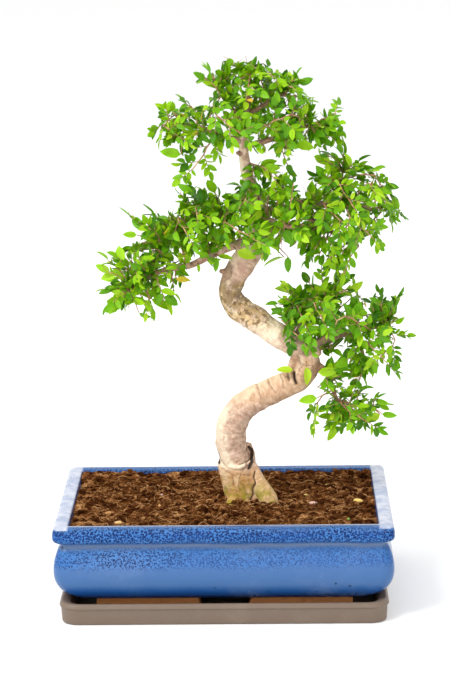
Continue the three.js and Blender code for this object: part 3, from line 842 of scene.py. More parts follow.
trunkLine = [
    [26, 2, 52, 24], [24, 2, 79, 19.5], [15, 2, 106, 16], [7, 1, 135, 14.2], [6.5, 0, 153, 14.3],
    [12.5, -1, 168.5, 14], [26.5, -2, 181.5, 13], [43, -3, 190, 12.4], [60, -4, 198, 12.3],
    [73, -4, 206, 12], [79, -4, 218, 11.4], [74, -3, 230, 11], [60, -1, 238, 11.2], [44, 2, 248, 11.4],
    [29, 5, 259, 12], [15, 8, 268, 11.8], [7, 10, 281, 10.4], [10, 10, 294, 11.2], [18, 9, 309, 12.1],
    [29, 7, 326, 12.1], [35, 5, 341, 11.2], [36, 4, 357, 8.6], [30, 3, 373, 6.6], [24, 2, 394, 5.3],
    [21, 2, 417, 4.6], [22, 2, 440, 3.7], [25, 3, 458, 2.8], [27, 3, 476, 2],
]
collarLine = [
    [23, -2, 70, 18], [18, -2, 90, 16.5], [14, -1, 108, 17], [11.7, 0, 128, 18.2], [10.5, 0, 144, 18.4],
]
collarCrescent = [[17, -1, 108, 9.5], [15, -2, 122, 12.6], [14.2, -2, 134, 14.2], [14, -2, 150, 15]]
rootLines = [
    [[26, -8, 122, 4.5], [32, -11, 106, 7.2], [40, -16, 91, 9.2], [48, -22, 72, 7], [60, -28, 56, 4]],
    [[12, -8, 92, 7], [4, -16, 80, 6.5], [-10, -24, 68, 5], [-24, -30, 56, 3.5]],
    [[12, 6, 92, 7], [2, 14, 78, 6], [-12, 26, 64, 4.5], [-22, 34, 52, 3]],
    [[34, 8, 88, 7], [44, 18, 74, 6], [56, 30, 60, 4.5], [66, 38, 50, 3]],
    [[22, -12, 80, 7], [20, -26, 66, 5.5], [18, -38, 52, 3.5]],
]
stubLines = [
    [[78, -6, 224, 7], [86, -9, 229, 5.8], [90, -10, 231, 4.2]],
    [[62, -5, 206, 4.6], [64, -7, 216, 4], [65, -7, 223, 3]],
    [[14, 8, 303, 3.6], [1, 7, 303, 2.6], [-3, 7, 303, 1.8]],
    [[22, 1, 412, 2.6], [14, -2, 415, 1.6]],
    [[23, 2, 402, 2.6], [30, -2, 404, 1.6]],
]
branchLines = [
    [[29, 6, 334, 5], [9, -2, 328, 4.2], [-11, -6, 320, 3.7], [-28, -8, 312, 3.2], [-39, -8, 310, 2.9],
     [-66, -8, 303, 2.4], [-86, -8, 287, 1.8]],
    [[33, 4, 366, 4], [10, 8, 362, 3.2], [-14, 12, 352, 2.6], [-36, 10, 338, 2.2], [-58, 6, 322, 1.7]],
    [[35, 3, 352, 4], [44, -16, 354, 3.2], [58, -32, 352, 2.4], [76, -38, 350, 1.7]],
    [[33, 5, 362, 4], [38, 24, 362, 3], [30, 42, 358, 2.2], [14, 48, 354, 1.7]],
    [[35, 4, 358, 5], [56, 4, 362, 4.2], [80, 2, 364, 3.6], [104, -2, 368, 3], [126, -6, 366, 2.3],
     [142, -8, 360, 1.8]],
    [[78, 2, 364, 3], [96, 18, 362, 2.6], [116, 28, 360, 2], [130, 30, 356, 1.6]],
    [[98, 0, 367, 2.8], [108, 4, 382, 2.2], [112, 6, 394, 1.6]],
    [[70, 3, 363, 3], [90, -8, 348, 2.4], [110, -14, 338, 2], [126, -16, 330, 1.6]],
    [[22, 2, 424, 3.4], [4, 0, 430, 2.8], [-16, -3, 438, 2.3], [-36, -4, 442, 1.7]],
    [[22, 2, 420, 3.4], [44, 0, 426, 2.8], [68, -2, 435, 2.3], [90, 0, 442, 1.7]],
    [[22, 1, 430, 2.8], [30, -16, 438, 2.2], [40, -32, 444, 1.6]],
    [[22, 4, 426, 2.8], [18, 20, 436, 2.2], [22, 36, 444, 1.6]],
    [[23, 3, 444, 2.4], [8, 0, 458, 1.9], [0, -4, 470, 1.5]],
    [[24, 3, 448, 2.6], [44, 4, 460, 2.1], [60, 6, 468, 1.5]],
    [[78, -3, 226, 4.4], [98, -2, 238, 3.6], [118, 0, 246, 3], [138, 0, 250, 2.4], [154, 0, 252, 1.8]],
    [[76, -5, 222, 3.6], [84, -20, 238, 2.8], [94, -34, 248, 2.2], [104, -38, 254, 1.7]],
    [[66, 1, 238, 3.6], [74, 18, 250, 2.8], [86, 32, 256, 2.2], [98, 38, 258, 1.7]],
    [[60, 0, 242, 3.4], [70, -2, 258, 2.6], [84, -4, 270, 2], [96, -4, 276, 1.6]],
    [[118, 0, 246, 2.6], [128, -4, 232, 2.2], [132, -6, 214, 1.6]],
    [[79, -5, 218, 3.8], [92, -8, 214, 3.2], [100, -10, 200, 2.6], [105, -10, 182, 2],
     [107, -10, 164, 1.5]],
    [[105, -10, 184, 2], [120, -12, 179, 1.7], [138, -12, 175, 1.4]],
]
wood = {
    "voxel": 1.1,  # mm
    "perSpan": 5,
    "smoothing": 2,
    "ridge": 0.05,
    "lump": 0.75,  # mm on the thick trunk
    "crease": 0.6,
    "collarRim": (11.5, 0, 128),
    "collarSlant": (20, -16),  # degrees about X and Y
    "scar": ((18, 2, 266), 26, 1.5),  # middle, reach and height of the rough scar
    "thick": 9.0,  # radius in mm at which the bark is at its roughest
    # grooves seen from the front: points (x, z), reach and depth in mm, darkness of their painted shade
    "grooves": [
        ([(22.3, 135), (25.6, 130.5), (26, 125), (23.2, 120)], 2.1, 0.6, 1.7),
        ([(-6.2, 130.8), (-2.1, 123.5), (3.5, 120.1), (10, 118.6), (17.5, 119), (24, 124)], 1.1, 1.0, 0.55),
        ([(-6.6, 129), (-5.6, 122)], 1.6, 1.4, 1.5),
        ([(28.6, 116.5), (27.1, 111), (28.5, 106), (26.3, 100), (27.0, 95), (24, 89)], 1.3, 2.0, 1.0),
        ([(7.6, 112), (8.2, 103)], 1.0, 1.2, 0.7),
        ([(2, 116), (9, 112.5), (15, 114.5), (24, 112.5)], 1.0, 0.9, 0.45),
        ([(65.3, 211), (66.2, 205), (68, 200.5)], 2.0, 2.6, 1.3),
        ([(28, 202), (32.5, 195.5), (35, 187)], 1.3, 0.9, 0.5),
        ([(41, 205.5), (43, 199.5), (48.5, 192)], 1.3, 0.9, 0.5),
        ([(52, 210), (55.6, 203), (56, 196)], 1.3, 0.9, 0.5),
        ([(59.5, 211), (61, 204)], 1.6, 1.0, 0.8),
        ([(-4, 155), (4, 152), (12, 153), (19, 151)], 1.0, 0.6, 0.2),
    ],
    "grooveBack": 10,  # the grooves end here, in mm along Y
}


bark = {
    "streaks": [
        (0.30, (0.24, 0.135, 0.085)), (0.43, (0.45, 0.28, 0.19)), (0.55, (0.60, 0.41, 0.30)),
        (0.70, (0.78, 0.60, 0.45)),
    ],
    # heights in metres, where each starts to fade and has faded, or lies between two such pairs
    "scarHeights": ((0.246, 0.258), (0.302, 0.288)),
    "bendHeights": ((0.172, 0.190), (0.236, 0.222)),
    "collarHeights": (0.122, 0.114),
    "mossHeights": (0.116, 0.091),
    "youngRadii": (5.0, 2.4),  # mm
    "youngStreaks": [(0.35, (0.10, 0.045, 0.025)), (0.65, (0.42, 0.22, 0.12))],
    "cream": (0.86, 0.71, 0.52, 1.0),
    "rosy": (0.47, 0.25, 0.19, 1.0),
    "lenticel": (0.86, 0.74, 0.55, 1.0),
    "ochre": (0.62, 0.42, 0.15, 1.0),
    "crust": (0.12, 0.065, 0.018, 1.0),
    "bendWarmth": (0.62, 0.36, 0.16, 1.0),
    "collar": (0.66, 0.40, 0.16, 1.0),
    "rust": (0.48, 0.22, 0.06, 1.0),
    "thinMoss": (0.50, 0.38, 0.05, 1.0),
    "moss": (0.30, 0.235, 0.008, 1.0),
    # painted shade in the grooves, and its darkest part deep inside them
    "hollow": (0.24, 0.115, 0.055, 1.0),
    "deepHollow": (0.022, 0.011, 0.006, 1.0),
}


# At a place on the wood: how deep the drawn grooves are in mm, and how dark their painted shade is
def grooveAt(spot):
    deepest, darkest = 0, 0
    if spot.y > wood["grooveBack"]:
        return deepest, darkest
    flat = Vector((spot.x, spot.z))
    for points, reach, depth, darkness in wood["grooves"]:
        for a, b in zip(points, points[1:]):
            a, b = Vector(a), Vector(b)
            share = min(max((flat - a).dot(b - a) / (b - a).length_squared, 0), 1)
            near = max(1 - (flat - a.lerp(b, share)).length / reach, 0)
            deepest, darkest = max(deepest, near * depth), max(darkest, near * darkness)
    return deepest, darkest


def makeBark():
    material, tree, shader = newMaterial("elmBark")
    spot = objectPlace(tree)
    along = addNode(tree, "Attribute", attribute_name="barkPlace").outputs["Vector"]
    squeezed, dashed = (
        addNode(tree, "Mapping", {"Vector": along, "Scale": (1.0, 1.0, scale)}).outputs["Vector"]
        for scale in (1.7, 2.6)
    )
    girth, grooveShade = attribute(tree, "girth"), attribute(tree, "groove")
    across, height = coordinate(tree, spot, "X"), coordinate(tree, spot, "Z")
    streaks = cloud(tree, squeezed, 150.0, 6.0, Roughness=0.65)
    colour = ramp(tree, streaks, bark["streaks"])
    # Cream bark in large patches, mostly on the left side: the patches are the bark's own, and surfaces
    # facing left are made creamier as a painted highlight
    normal = addNode(tree, "NewGeometry").outputs["Normal"]
    paintedLeftLight = fromTo(tree, coordinate(tree, normal, "X"), 0.15, -0.85)
    pale = plus(tree, cloud(tree, along, 34.0, 3.0), times(tree, paintedLeftLight, 0.26))
    colour = layer(tree, colour, bark["cream"], fromTo(tree, pale, 0.52, 0.72), 0.8)
    colour = layer(tree, colour, bark["rosy"], patchMask(tree, along, 26.0, 0.5, 0.68), 0.45)
    # Pale lenticels, short lines across the trunk
    lenticels = times(tree, fromTo(tree, cells(tree, dashed, 240.0), 0.26, 0.12), 0.7)
    colour = layer(tree, colour, bark["lenticel"], lenticels)
    # The rough brown scar above the second bend
    scar = band(tree, height, *bark["scarHeights"])
    scar = times(tree, scar, fromTo(tree, across, 0.052, 0.036))
    crust = times(tree, patchMask(tree, along, 110.0, 0.36, 0.52), fromTo(tree, height, 0.258, 0.276), 0.8)
    blots = calculate(tree, "MAXIMUM", patchMask(tree, along, 230.0, 0.46, 0.62), crust)
    colour = layer(tree, colour, bark["ochre"], scar, patchMask(tree, along, 120.0, 0.34, 0.62), 0.7)
    colour = layer(tree, colour, bark["crust"], scar, blots, 0.85)
    # A warm tone at the second bend, and rust on the collar
    warm = band(tree, height, *bark["bendHeights"])
    colour = layer(tree, colour, bark["bendWarmth"], warm, 0.35)
    low = fromTo(tree, height, *bark["collarHeights"])
    colour = layer(tree, colour, bark["collar"], low, 0.5)
    left = plus(tree, times(tree, fromTo(tree, across, 0.030, 0.024), 0.75), 0.1)
    rust = times(tree, patchMask(tree, spot, 75.0, 0.34, 0.60), left)
    colour = layer(tree, colour, bark["rust"], low, rust)
    # Moss at the soil line, thin and pale higher up
    tufts = patchMask(tree, spot, 130.0, 0.40, 0.58)
    moss = mixColours(tree, tufts, bark["thinMoss"], bark["moss"])
    colour = layer(tree, colour, moss, fromTo(tree, height, *bark["mossHeights"]), tufts, 0.95)
    # Young wood is a red brown
    young = ramp(tree, streaks, bark["youngStreaks"])
    colour = layer(tree, colour, young, fromTo(tree, girth, *bark["youngRadii"]), 0.85)
    # Painted shade in the drawn grooves: brown, going to near black where their darkness is greatest
    grooveShadeMask = times(tree, grooveShade, plus(tree, streaks, 0.75))
    hollow = mixColours(tree, fromTo(tree, grooveShade, 0.2, 0.9), bark["hollow"], bark["deepHollow"])
    colour = mixColours(tree, calculate(tree, "MINIMUM", grooveShadeMask, 0.96), colour, hollow)
    feed(tree, shader, {"Base Color": colour, "Roughness": 0.85})
    addBump(tree, shader, plus(tree, streaks, times(tree, lenticels, 0.5)), 0.0016)
    return material


def makeWood():
    sleeve, crescent = bmesh.new(), bmesh.new()
    addLimb(sleeve, smoothLine(collarLine, 6), 28, lambda angle: 1 + wood["ridge"] * math.sin(3 * angle))
    addLimb(crescent, smoothLine(collarCrescent, 2), 28)
    slantX, slantY = (math.radians(angle) for angle in wood["collarSlant"])
    rim = Matrix.Rotation(slantY, 3, "Y") @ Matrix.Rotation(slantX, 3, "X") @ Vector((0, 0, 1))
    everything = sleeve.verts[:] + sleeve.edges[:] + sleeve.faces[:]
    bmesh.ops.bisect_plane(
        sleeve, geom=everything, plane_co=Vector(wood["collarRim"]) * mm, plane_no=rim, clear_outer=True,
    )
    bmesh.ops.holes_fill(sleeve, edges=[edge for edge in sleeve.edges if edge.is_boundary], sides=0)
    bm = cutAway(sleeve, crescent, "crescent")
    limbs = [(trunkLine, 24), *((line, 12) for line in rootLines + stubLines)]
    frames = []
    for line, sides in limbs + [(line, 10) for line in branchLines]:
        made = addLimb(bm, smoothLine(line, wood["perSpan"]), sides)
        distance = 0
        for i, (turn, radius) in enumerate(made):
            distance += (turn.translation - made[i - 1][0].translation).length if i else 0
            frames.append((turn, radius, distance))
    bm = bake(bm, "REMESH", mode="VOXEL", voxel_size=wood["voxel"] * mm, use_smooth_shade=True)
    for _ in range(wood["smoothing"]):
        bmesh.ops.smooth_vert(
            bm, verts=bm.verts, factor=0.5, use_axis_x=True, use_axis_y=True, use_axis_z=True,
        )
    finder = makeFinder([turn.translation for turn, radius, distance in frames])
    barkPlace = bm.verts.layers.float_vector.new("barkPlace")
    girth, groove = (bm.verts.layers.float.new(name) for name in ("girth", "groove"))
    bm.normal_update()
    inverses = [turn.inverted() for turn, radius, distance in frames]
    for vert in bm.verts:
        found = finder.find_n(vert.co, 6)
        _, index, _ = min(found, key=lambda item: item[2] - frames[item[1]][1])
        turn, radius, distance = frames[index]
        flat = inverses[index] @ vert.co
        flat.z += distance
        vert[barkPlace] = flat
        vert[girth] = radius / mm
        spot = flat / mm
        rough = min(radius / mm / wood["thick"], 1.3) ** 1.5
        lump = noise.noise(spot / 11) + 0.55 * noise.noise(spot / 5 + Vector((7, 0, 0)))
        wide = Vector((spot.x / 14, spot.y / 14, spot.z / 6.5))
        crease = max(0, noise.noise(spot / 16 + Vector((0, 9, 0))) + 0.05)
        crease *= max(0, 1 - abs(noise.noise(wide)) * 9)
        middle, reach, rise = wood["scar"]
        scarred = max(0, 1 - (vert.co / mm - Vector(middle)).length / reach)
        rugged = noise.noise(spot / 2.6) + 0.7 * noise.noise(spot / 5.5 + Vector((0, 0, 4)))
        lump += scarred * rise * rugged
        deep, dark = grooveAt(vert.co / mm)
        # how much painted shade the groove gets here
        vert[groove] = dark
        vert.co += vert.normal * mm * (rough * (wood["lump"] * lump - wood["crease"] * crease) - deep)
    return newPiece(bm, "wood", [makeBark()], ["trunk"], sharp=80), frames, finder


woodPiece, woodFrames, woodFinder = makeWood()
print("wood: done,", len(woodPiece.data.polygons), "faces")


# Foliage. Each blade of a spray's solid becomes a sprig of small leaves on a stem of its own.

foliage = {
    "post": 0.8,  # a blade's thickness in the solid, mm
    "cornerShare": 0.32,  # how far along a blade its first corners lie
    "stationReach": 4.0,  # rim points of the twig closer than this belong together, mm
    "stationStep": 14.0,
    "twigRadius": (0.85, 0.5),
    "stemRadius": 0.4,
    "stemShare": 0.62,
    # share along the blade, side, share of the blade's length, turn from the stem
    "leaves": [
        (0.56, 0, 0.45, 0.0), (0.48, 1, 0.42, 0.62), (0.41, -1, 0.44, 0.72), (0.33, 1, 0.42, 0.85),
        (0.25, -1, 0.41, 0.92), (0.17, 1, 0.38, 1.00), (0.10, -1, 0.36, 1.10), (0.03, 1, 0.33, 1.25),
    ],
    "missing": 0.06,  # share of leaves left out
    "stretch": (0.84, 1.04),
    "roll": 0.62,  # spread of the turn of a leaf about its stalk, radians
    "droop": (-0.08, 0.32),
    "toneSpread": 0.17,
    "sprigYouth": (0.42, 0.12),
    "twigYouth": (0.43, 0.12),
    "stemArch": (-0.3, 1.2),
    "leafCells": (5, 2),
    "halfWidth": (0.20, 0.30),
    "sharpness": (0.55, 0.75),
    "thickness": 0.018,
    "fold": 0.38,
    "yellow": 0.004,
    "greens": [
        (0.0, (0.030, 0.170, 0.0002)), (0.35, (0.145, 0.420, 0.0003)), (0.65, (0.34, 0.63, 0.001)),
        (1.0, (0.58, 0.80, 0.035)),
    ],
    "veinGreen": (0.38, 0.58, 0.05, 1.0),
    "golds": ((0.70, 0.36, 0.02, 1.0), (0.85, 0.62, 0.05, 1.0)),
    "glow": (0.50, 0.80, 0.01, 1.0),
    "twigBrowns": [(0.32, (0.16, 0.062, 0.028)), (0.52, (0.42, 0.215, 0.10)), (0.72, (0.62, 0.42, 0.21))],
    # shoots on the branches themselves, inside the clouds: step, length, thickest branch in mm
    "shootStep": 5.5,
    "shootLength": (16, 27),
    "shootWood": 3.1,
    "shootTurn": 1.9,  # radians to each side of upright
    "shootLean": (0.2, 1.1),
    # fine twigs inside the clouds: where their ends lie (centre, half sizes), how many, all in mm
    "thickets": {
        "apex": [
            ((34, -2, 452), (46, 34, 34), 22), ((-6, -6, 486), (15, 18, 9), 6),
            ((22, 0, 494), (22, 16, 6), 6), ((66, -6, 476), (14, 18, 12), 6),
            ((90, -6, 436), (11, 16, 11), 5), ((54, -10, 423), (20, 20, 6), 5),
            ((99, -8, 424), (15, 14, 8), 5), ((-30, -6, 440), (22, 18, 16), 8),
            ((-44, -6, 424), (12, 12, 8), 3),
        ],
        "middle": [
            ((42, -8, 360), (42, 34, 24), 18), ((72, -8, 386), (26, 28, 14), 10),
            ((104, -6, 402), (28, 24, 14), 10), ((62, -20, 334), (30, 16, 18), 12),
            ((92, -14, 316), (16, 16, 16), 8), ((118, 0, 370), (28, 28, 24), 12),
            ((20, -18, 372), (20, 14, 14), 6), ((112, -8, 304), (9, 12, 14), 5),
            ((42, -20, 324), (12, 8, 8), 3),
        ],
        "left": [
            ((-20, -4, 358), (30, 26, 20), 14), ((-20, -6, 380), (26, 18, 7), 6),
            ((-66, -6, 352), (22, 16, 10), 8), ((-58, -4, 318), (30, 26, 18), 12),
            ((-86, -8, 282), (24, 20, 12), 10), ((-54, -8, 286), (12, 14, 12), 5),
            ((-98, -8, 312), (10, 12, 12), 4), ((-15, -12, 338), (14, 12, 10), 5),
            ((-8, -16, 326), (12, 8, 9), 4),
        ],
        "lower": [
            ((96, -2, 258), (42, 32, 24), 18), ((148, -4, 276), (16, 18, 16), 7),
            ((98, -2, 290), (30, 22, 7), 7), ((106, -14, 228), (16, 12, 16), 7),
            ((114, -12, 200), (18, 14, 12), 5), ((116, -10, 168), (16, 14, 12), 7),
            ((62, -10, 284), (12, 12, 8), 5), ((156, -6, 262), (10, 14, 10), 4),
        ],
    },
    "thicketWood": 4.4,  # thickest wood that carries such a twig
    "thicketTwig": (0.75, 0.4),
    "thicketRise": (0.02, 0.16),
    "thicketSway": 0.08,
    "thicketLeaf": (7, 16.5),
    "bareTwigs": 3,  # thin bare twigs beside each of them, and their length
    "bareLength": (4, 11),
    "thicketStep": 3.4,
    "thicketReach": 46,
    "stalk": (0.9, 0.65, 0.45),  # radii of a single leaf's stalk from the wood, mm
    # single leaves that stand out: base (x, y, z), tip (x, z), how young
    "singles": [
        ((65, -15, 213.5), (49, 213.5), 0.95), ((76.9, -18, 217), (79.6, 200), 0.98),
        ((88, -15, 211), (107.5, 213.5), 0.95), ((-9.4, -10, 489), (-11, 500), 0.15),
        ((95.4, -10, 446), (110.5, 442), 0.45), ((50.7, -10, 425), (53.6, 411), 0.5),
        ((68.9, -14, 424.4), (85.3, 420.6), 0.6), ((51.4, -14, 276), (40.2, 278), 0.25),
        ((57, -14, 271.2), (44.6, 268), 0.2), ((141.8, -10, 250.6), (157, 251.4), 0.6),
        ((87, -14, 186.4), (70.2, 184.6), 0.5), ((97.2, -10, 175.8), (86.8, 173), 0.45),
        ((126, -12, 193.2), (139.3, 198.4), 0.55), ((140.9, -10, 183.1), (154.2, 180), 0.6),
        ((147.4, -10, 169.6), (161.6, 168.5), 0.4), ((145.6, -12, 169.6), (131.2, 164), 0.5),
        ((102.7, -12, 158.5), (98.6, 144.5), 0.6), ((87.1, -12, 196), (106.5, 190.1), 0.45),
        ((99, -14, 171), (113.2, 164), 0.65), ((113, -16, 175.6), (101.6, 181.5), 0.6),
        ((100, -14, 166), (92, 157.5), 0.55), ((-47.5, -12, 458.3), (-59.1, 462.8), 0.8),
        ((-43, -12, 454.2), (-42.8, 464.4), 0.5), ((-49.1, -12, 446), (-56.3, 442.2), 0.3),
        ((-35.9, -12, 415.2), (-54.9, 418.9), 0.75), ((-15.8, -12, 486.6), (-23.8, 490.1), 0.7),
        ((-14, -12, 483.4), (-21.7, 481.5), 0.3), ((149, -12, 384.4), (163, 383.2), 0.35),
        ((145.3, -12, 381.7), (156.6, 378.2), 0.4), ((145.8, -12, 387.2), (147, 394.8), 0.3),
        ((127, -12, 348.5), (137.5, 355.3), 0.55), ((139.9, -12, 347.9), (153, 346.3), 0.4),
        ((-77.5, -12, 341.2), (-90.6, 342.1), 0.6), ((-95.4, -12, 272.9), (-110.6, 271.1), 0.5),
        ((-42.3, -12, 299.7), (-28.9, 299.1), 0.55), ((-4.8, -12, 320), (-5.8, 306.3), 0.45),
        ((-3.4, -12, 320.9), (10.4, 318.3), 0.75), ((-21.8, -12, 313.6), (-21.4, 306), 0.5),
        ((-77, -12, 268.1), (-66.4, 263.2), 0.45), ((-65.2, -12, 281.1), (-46.4, 272), 0.65),
        ((57.3, -12, 319.4), (37, 313.4), 0.8), ((60.9, -12, 319.8), (60.8, 304.8), 0.4),
        ((14.1, -12, 324.9), (32, 319.5), 0.65),
    ],
}


# A leaf one unit long along X: a grid drawn in to a pointed oval, folded a little along its midrib
def makeLeafMesh():
    bm = bmesh.new()
    bm.loops.layers.uv.new("UVMap")
    long, wide = foliage["leafCells"]
    bmesh.ops.create_grid(bm, x_segments=long, y_segments=wide, size=1.0, calc_uvs=True)
    near, far = foliage["sharpness"]
    widest = near / (near + far)
    peak = widest ** near * (1 - widest) ** far
    for vert in bm.verts:
        share = (vert.co.x + 1) / 2
        width = share ** near * max(1 - share, 0) ** far / peak
        vert.co = Vector((share, vert.co.y * width, 0))
        vert.co.z = foliage["fold"] * abs(vert.co.y)
    bmesh.ops.remove_doubles(bm, verts=bm.verts, dist=1e-5)
    bmesh.ops.solidify(bm, geom=bm.faces[:], thickness=foliage["thickness"])
    bmesh.ops.recalc_face_normals(bm, faces=bm.faces)
    return toMesh(bm, "leaf")


def makeLeafLook():
    material, tree, shader = newMaterial("elmLeaf")
    leafPlace = addNode(tree, "UVMap", uv_map="UVMap").outputs["UV"]
    blotch = cloud(tree, objectPlace(tree), 240.0, 3.0)
    age = plus(tree, attribute(tree, "youth"), times(tree, minus(tree, blotch, 0.5), 0.25))
    green = ramp(tree, age, foliage["greens"])
    aside = calculate(tree, "ABSOLUTE", minus(tree, coordinate(tree, leafPlace, "Y"), 0.5))
    rise = times(tree, coordinate(tree, leafPlace, "X"), 52.0)
    slope = minus(tree, rise, times(tree, aside, 30.0))
    ribs = fromTo(tree, calculate(tree, "SINE", slope), 0.72, 0.98)
    veins = calculate(tree, "MAXIMUM", fromTo(tree, aside, 0.045, 0.015), times(tree, ribs, 0.35))
    green = layer(tree, green, foliage["veinGreen"], veins, 0.4)
    gold = mixColours(tree, blotch, *foliage["golds"])
    colour = mixColours(tree, attribute(tree, "yellowing"), green, gold)
    feed(tree, shader, {"Base Color": colour, "Roughness": 0.42, "Specular IOR Level": 0.28})
    addBump(tree, shader, minus(tree, blotch, times(tree, veins, 0.6)), 0.0003)
    through = mixColours(tree, 0.5, colour, foliage["glow"])
    glow = addNode(tree, "BsdfTranslucent", {"Color": through})
    both = addNode(tree, "MixShader", {"Fac": 0.28, 1: shader.outputs["BSDF"], 2: glow.outputs["BSDF"]})
    tree.links.new(both.outputs["Shader"], tree.nodes["Material Output"].inputs["Surface"])
    return material


def makeTwigLook():
    material, tree, shader = newMaterial("youngTwig")
    bands = cloud(tree, objectPlace(tree), 160.0, 4.0)
    feed(tree, shader, {"Base Color": ramp(tree, bands, foliage["twigBrowns"]), "Roughness": 0.6})
    addBump(tree, shader, bands, 0.0003)
    return material


# A spray's blades as (base, tip, face). Their corners are posts of one length, five in a row.
def readSpray(node):
    solid = bmesh.new()
    solid.from_mesh(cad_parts[node].data)
    bmesh.ops.remove_doubles(solid, verts=solid.verts, dist=1e-6)
    posts = [edge for edge in solid.edges if abs(edge.calc_length() / mm - foliage["post"]) < 0.01]
    owner = {vert: edge for edge in posts for vert in edge.verts}

    def beside(post):
        others = [vert for face in post.link_faces for vert in face.verts if vert not in post.verts]
        return [owner[vert] for vert in others if vert in owner]

    blades, used = [], set()
    for post in sorted(posts, key=lambda edge: edge.index):
        if post in used or len(beside(post)) != 1:
            continue
        chain = [post]
        while len(chain) < 6:
            after = [other for other in beside(chain[-1]) if other not in chain]
            if not after:
                break
            chain.append(after[0])
        used.update(chain)
        if len(chain) != 5:
            continue
        corners = [(edge.verts[0].co + edge.verts[1].co) / 2 for edge in chain]
        wide, tip = (corners[0] + corners[4]) / 2, corners[2]
        base = wide - (tip - wide) * foliage["cornerShare"] / (1 - foliage["cornerShare"])
        across = corners[4] - corners[0]
        face = (tip - base).cross(across).normalized()
        if face.dot(Vector((0, -0.35, 1))) < 0:
            face = -face
        blades.append((base, tip, face))
    rim = [vert.co.copy() for vert in solid.verts if vert not in owner]
    solid.free()
    return blades, rim


# The twig's stations, from the wood outwards
def readTwig(rim, finder):
    groups = []
    reach = foliage["stationReach"] * mm
    for spot in rim:
        near = [group for group in groups if (sum(group, Vector()) / len(group) - spot).length < reach]
        if near:
            near[0].append(spot)
        else:
            groups.append([spot])
    stations = [sum(group, Vector()) / len(group) for group in groups]
    here = min(stations, key=lambda spot: finder.find(spot)[2])
    path = [finder.find(here)[0], here]
    left = [spot for spot in stations if spot is not here]
    while left:
        after = min(left, key=lambda spot: (spot - path[-1]).length)
        if (after - path[-1]).length > foliage["stationStep"] * mm:
            break
        left.remove(after)
        path.append(after)
    return path


# One leaf that grows from a place ahead, with its upper side towards the face
def addLeaf(leaves, leafMesh, spot, ahead, face, long, tone, rng):
    upward = (face - ahead * face.dot(ahead)).normalized()
    upward = Matrix.Rotation(rng.gauss(0, foliage["roll"]), 3, ahead) @ upward
    wide = upward.cross(ahead)
    half, droop = rng.uniform(*foliage["halfWidth"]), rng.uniform(*foliage["droop"])
    tone = min(max(tone + rng.gauss(0, foliage["toneSpread"]), 0), 1)
    yellow = rng.uniform(0.6, 1.0) if rng.random() < foliage["yellow"] else 0.0
    if not insideBox(spot + ahead * long):
        return

    def lay(leaf):
        flat = ahead * leaf.x + wide * leaf.y * half + upward * (leaf.z * half - droop * leaf.x * leaf.x)
        return spot + flat * long

    addCopy(leaves, leafMesh, lay, {"youth": tone, "yellowing": yellow})


# Leaves in turns along a stem that runs the first part of the way from base to tip
def growSprig(leaves, stems, shapes, blade, rng):
    base, tip, face = blade
    leafMesh, strand = shapes
    length = (tip - base).length
    axis = (tip - base).normalized()
    side = face.cross(axis).normalized()
    youth = rng.gauss(*foliage["sprigYouth"])
    reach = length * foliage["stemShare"]
    thick = foliage["stemRadius"] * mm
    arch = rng.uniform(*foliage["stemArch"]) * mm

    def bend(spot):
        skin = (side * spot.y + face * spot.z) * thick * (1 - 0.35 * spot.x)
        return base + axis * (spot.x * reach - 0.6 * mm) + face * arch * 4 * spot.x * (1 - spot.x) + skin

    addCopy(stems, strand, bend, {})
    for share, hand, long, turn in foliage["leaves"]:
        if hand and rng.random() < foliage["missing"]:
            continue
        angle = hand * (turn + rng.uniform(-0.2, 0.2)) + (0 if hand else rng.uniform(-0.1, 0.1))
        ahead = axis * math.cos(angle) + side * math.sin(angle)
        ahead = (ahead + face * (rng.uniform(-0.4, 0.5) if hand else rng.uniform(-0.05, 0.15))).normalized()
        shareOn = share / foliage["stemShare"]
        spot = base.lerp(tip, share) + face * arch * 4 * shareOn * (1 - shareOn)
        long = long * length * rng.uniform(*foliage["stretch"])
        addLeaf(leaves, leafMesh, spot, ahead, face, long, youth + (0 if hand else 0.1), rng)


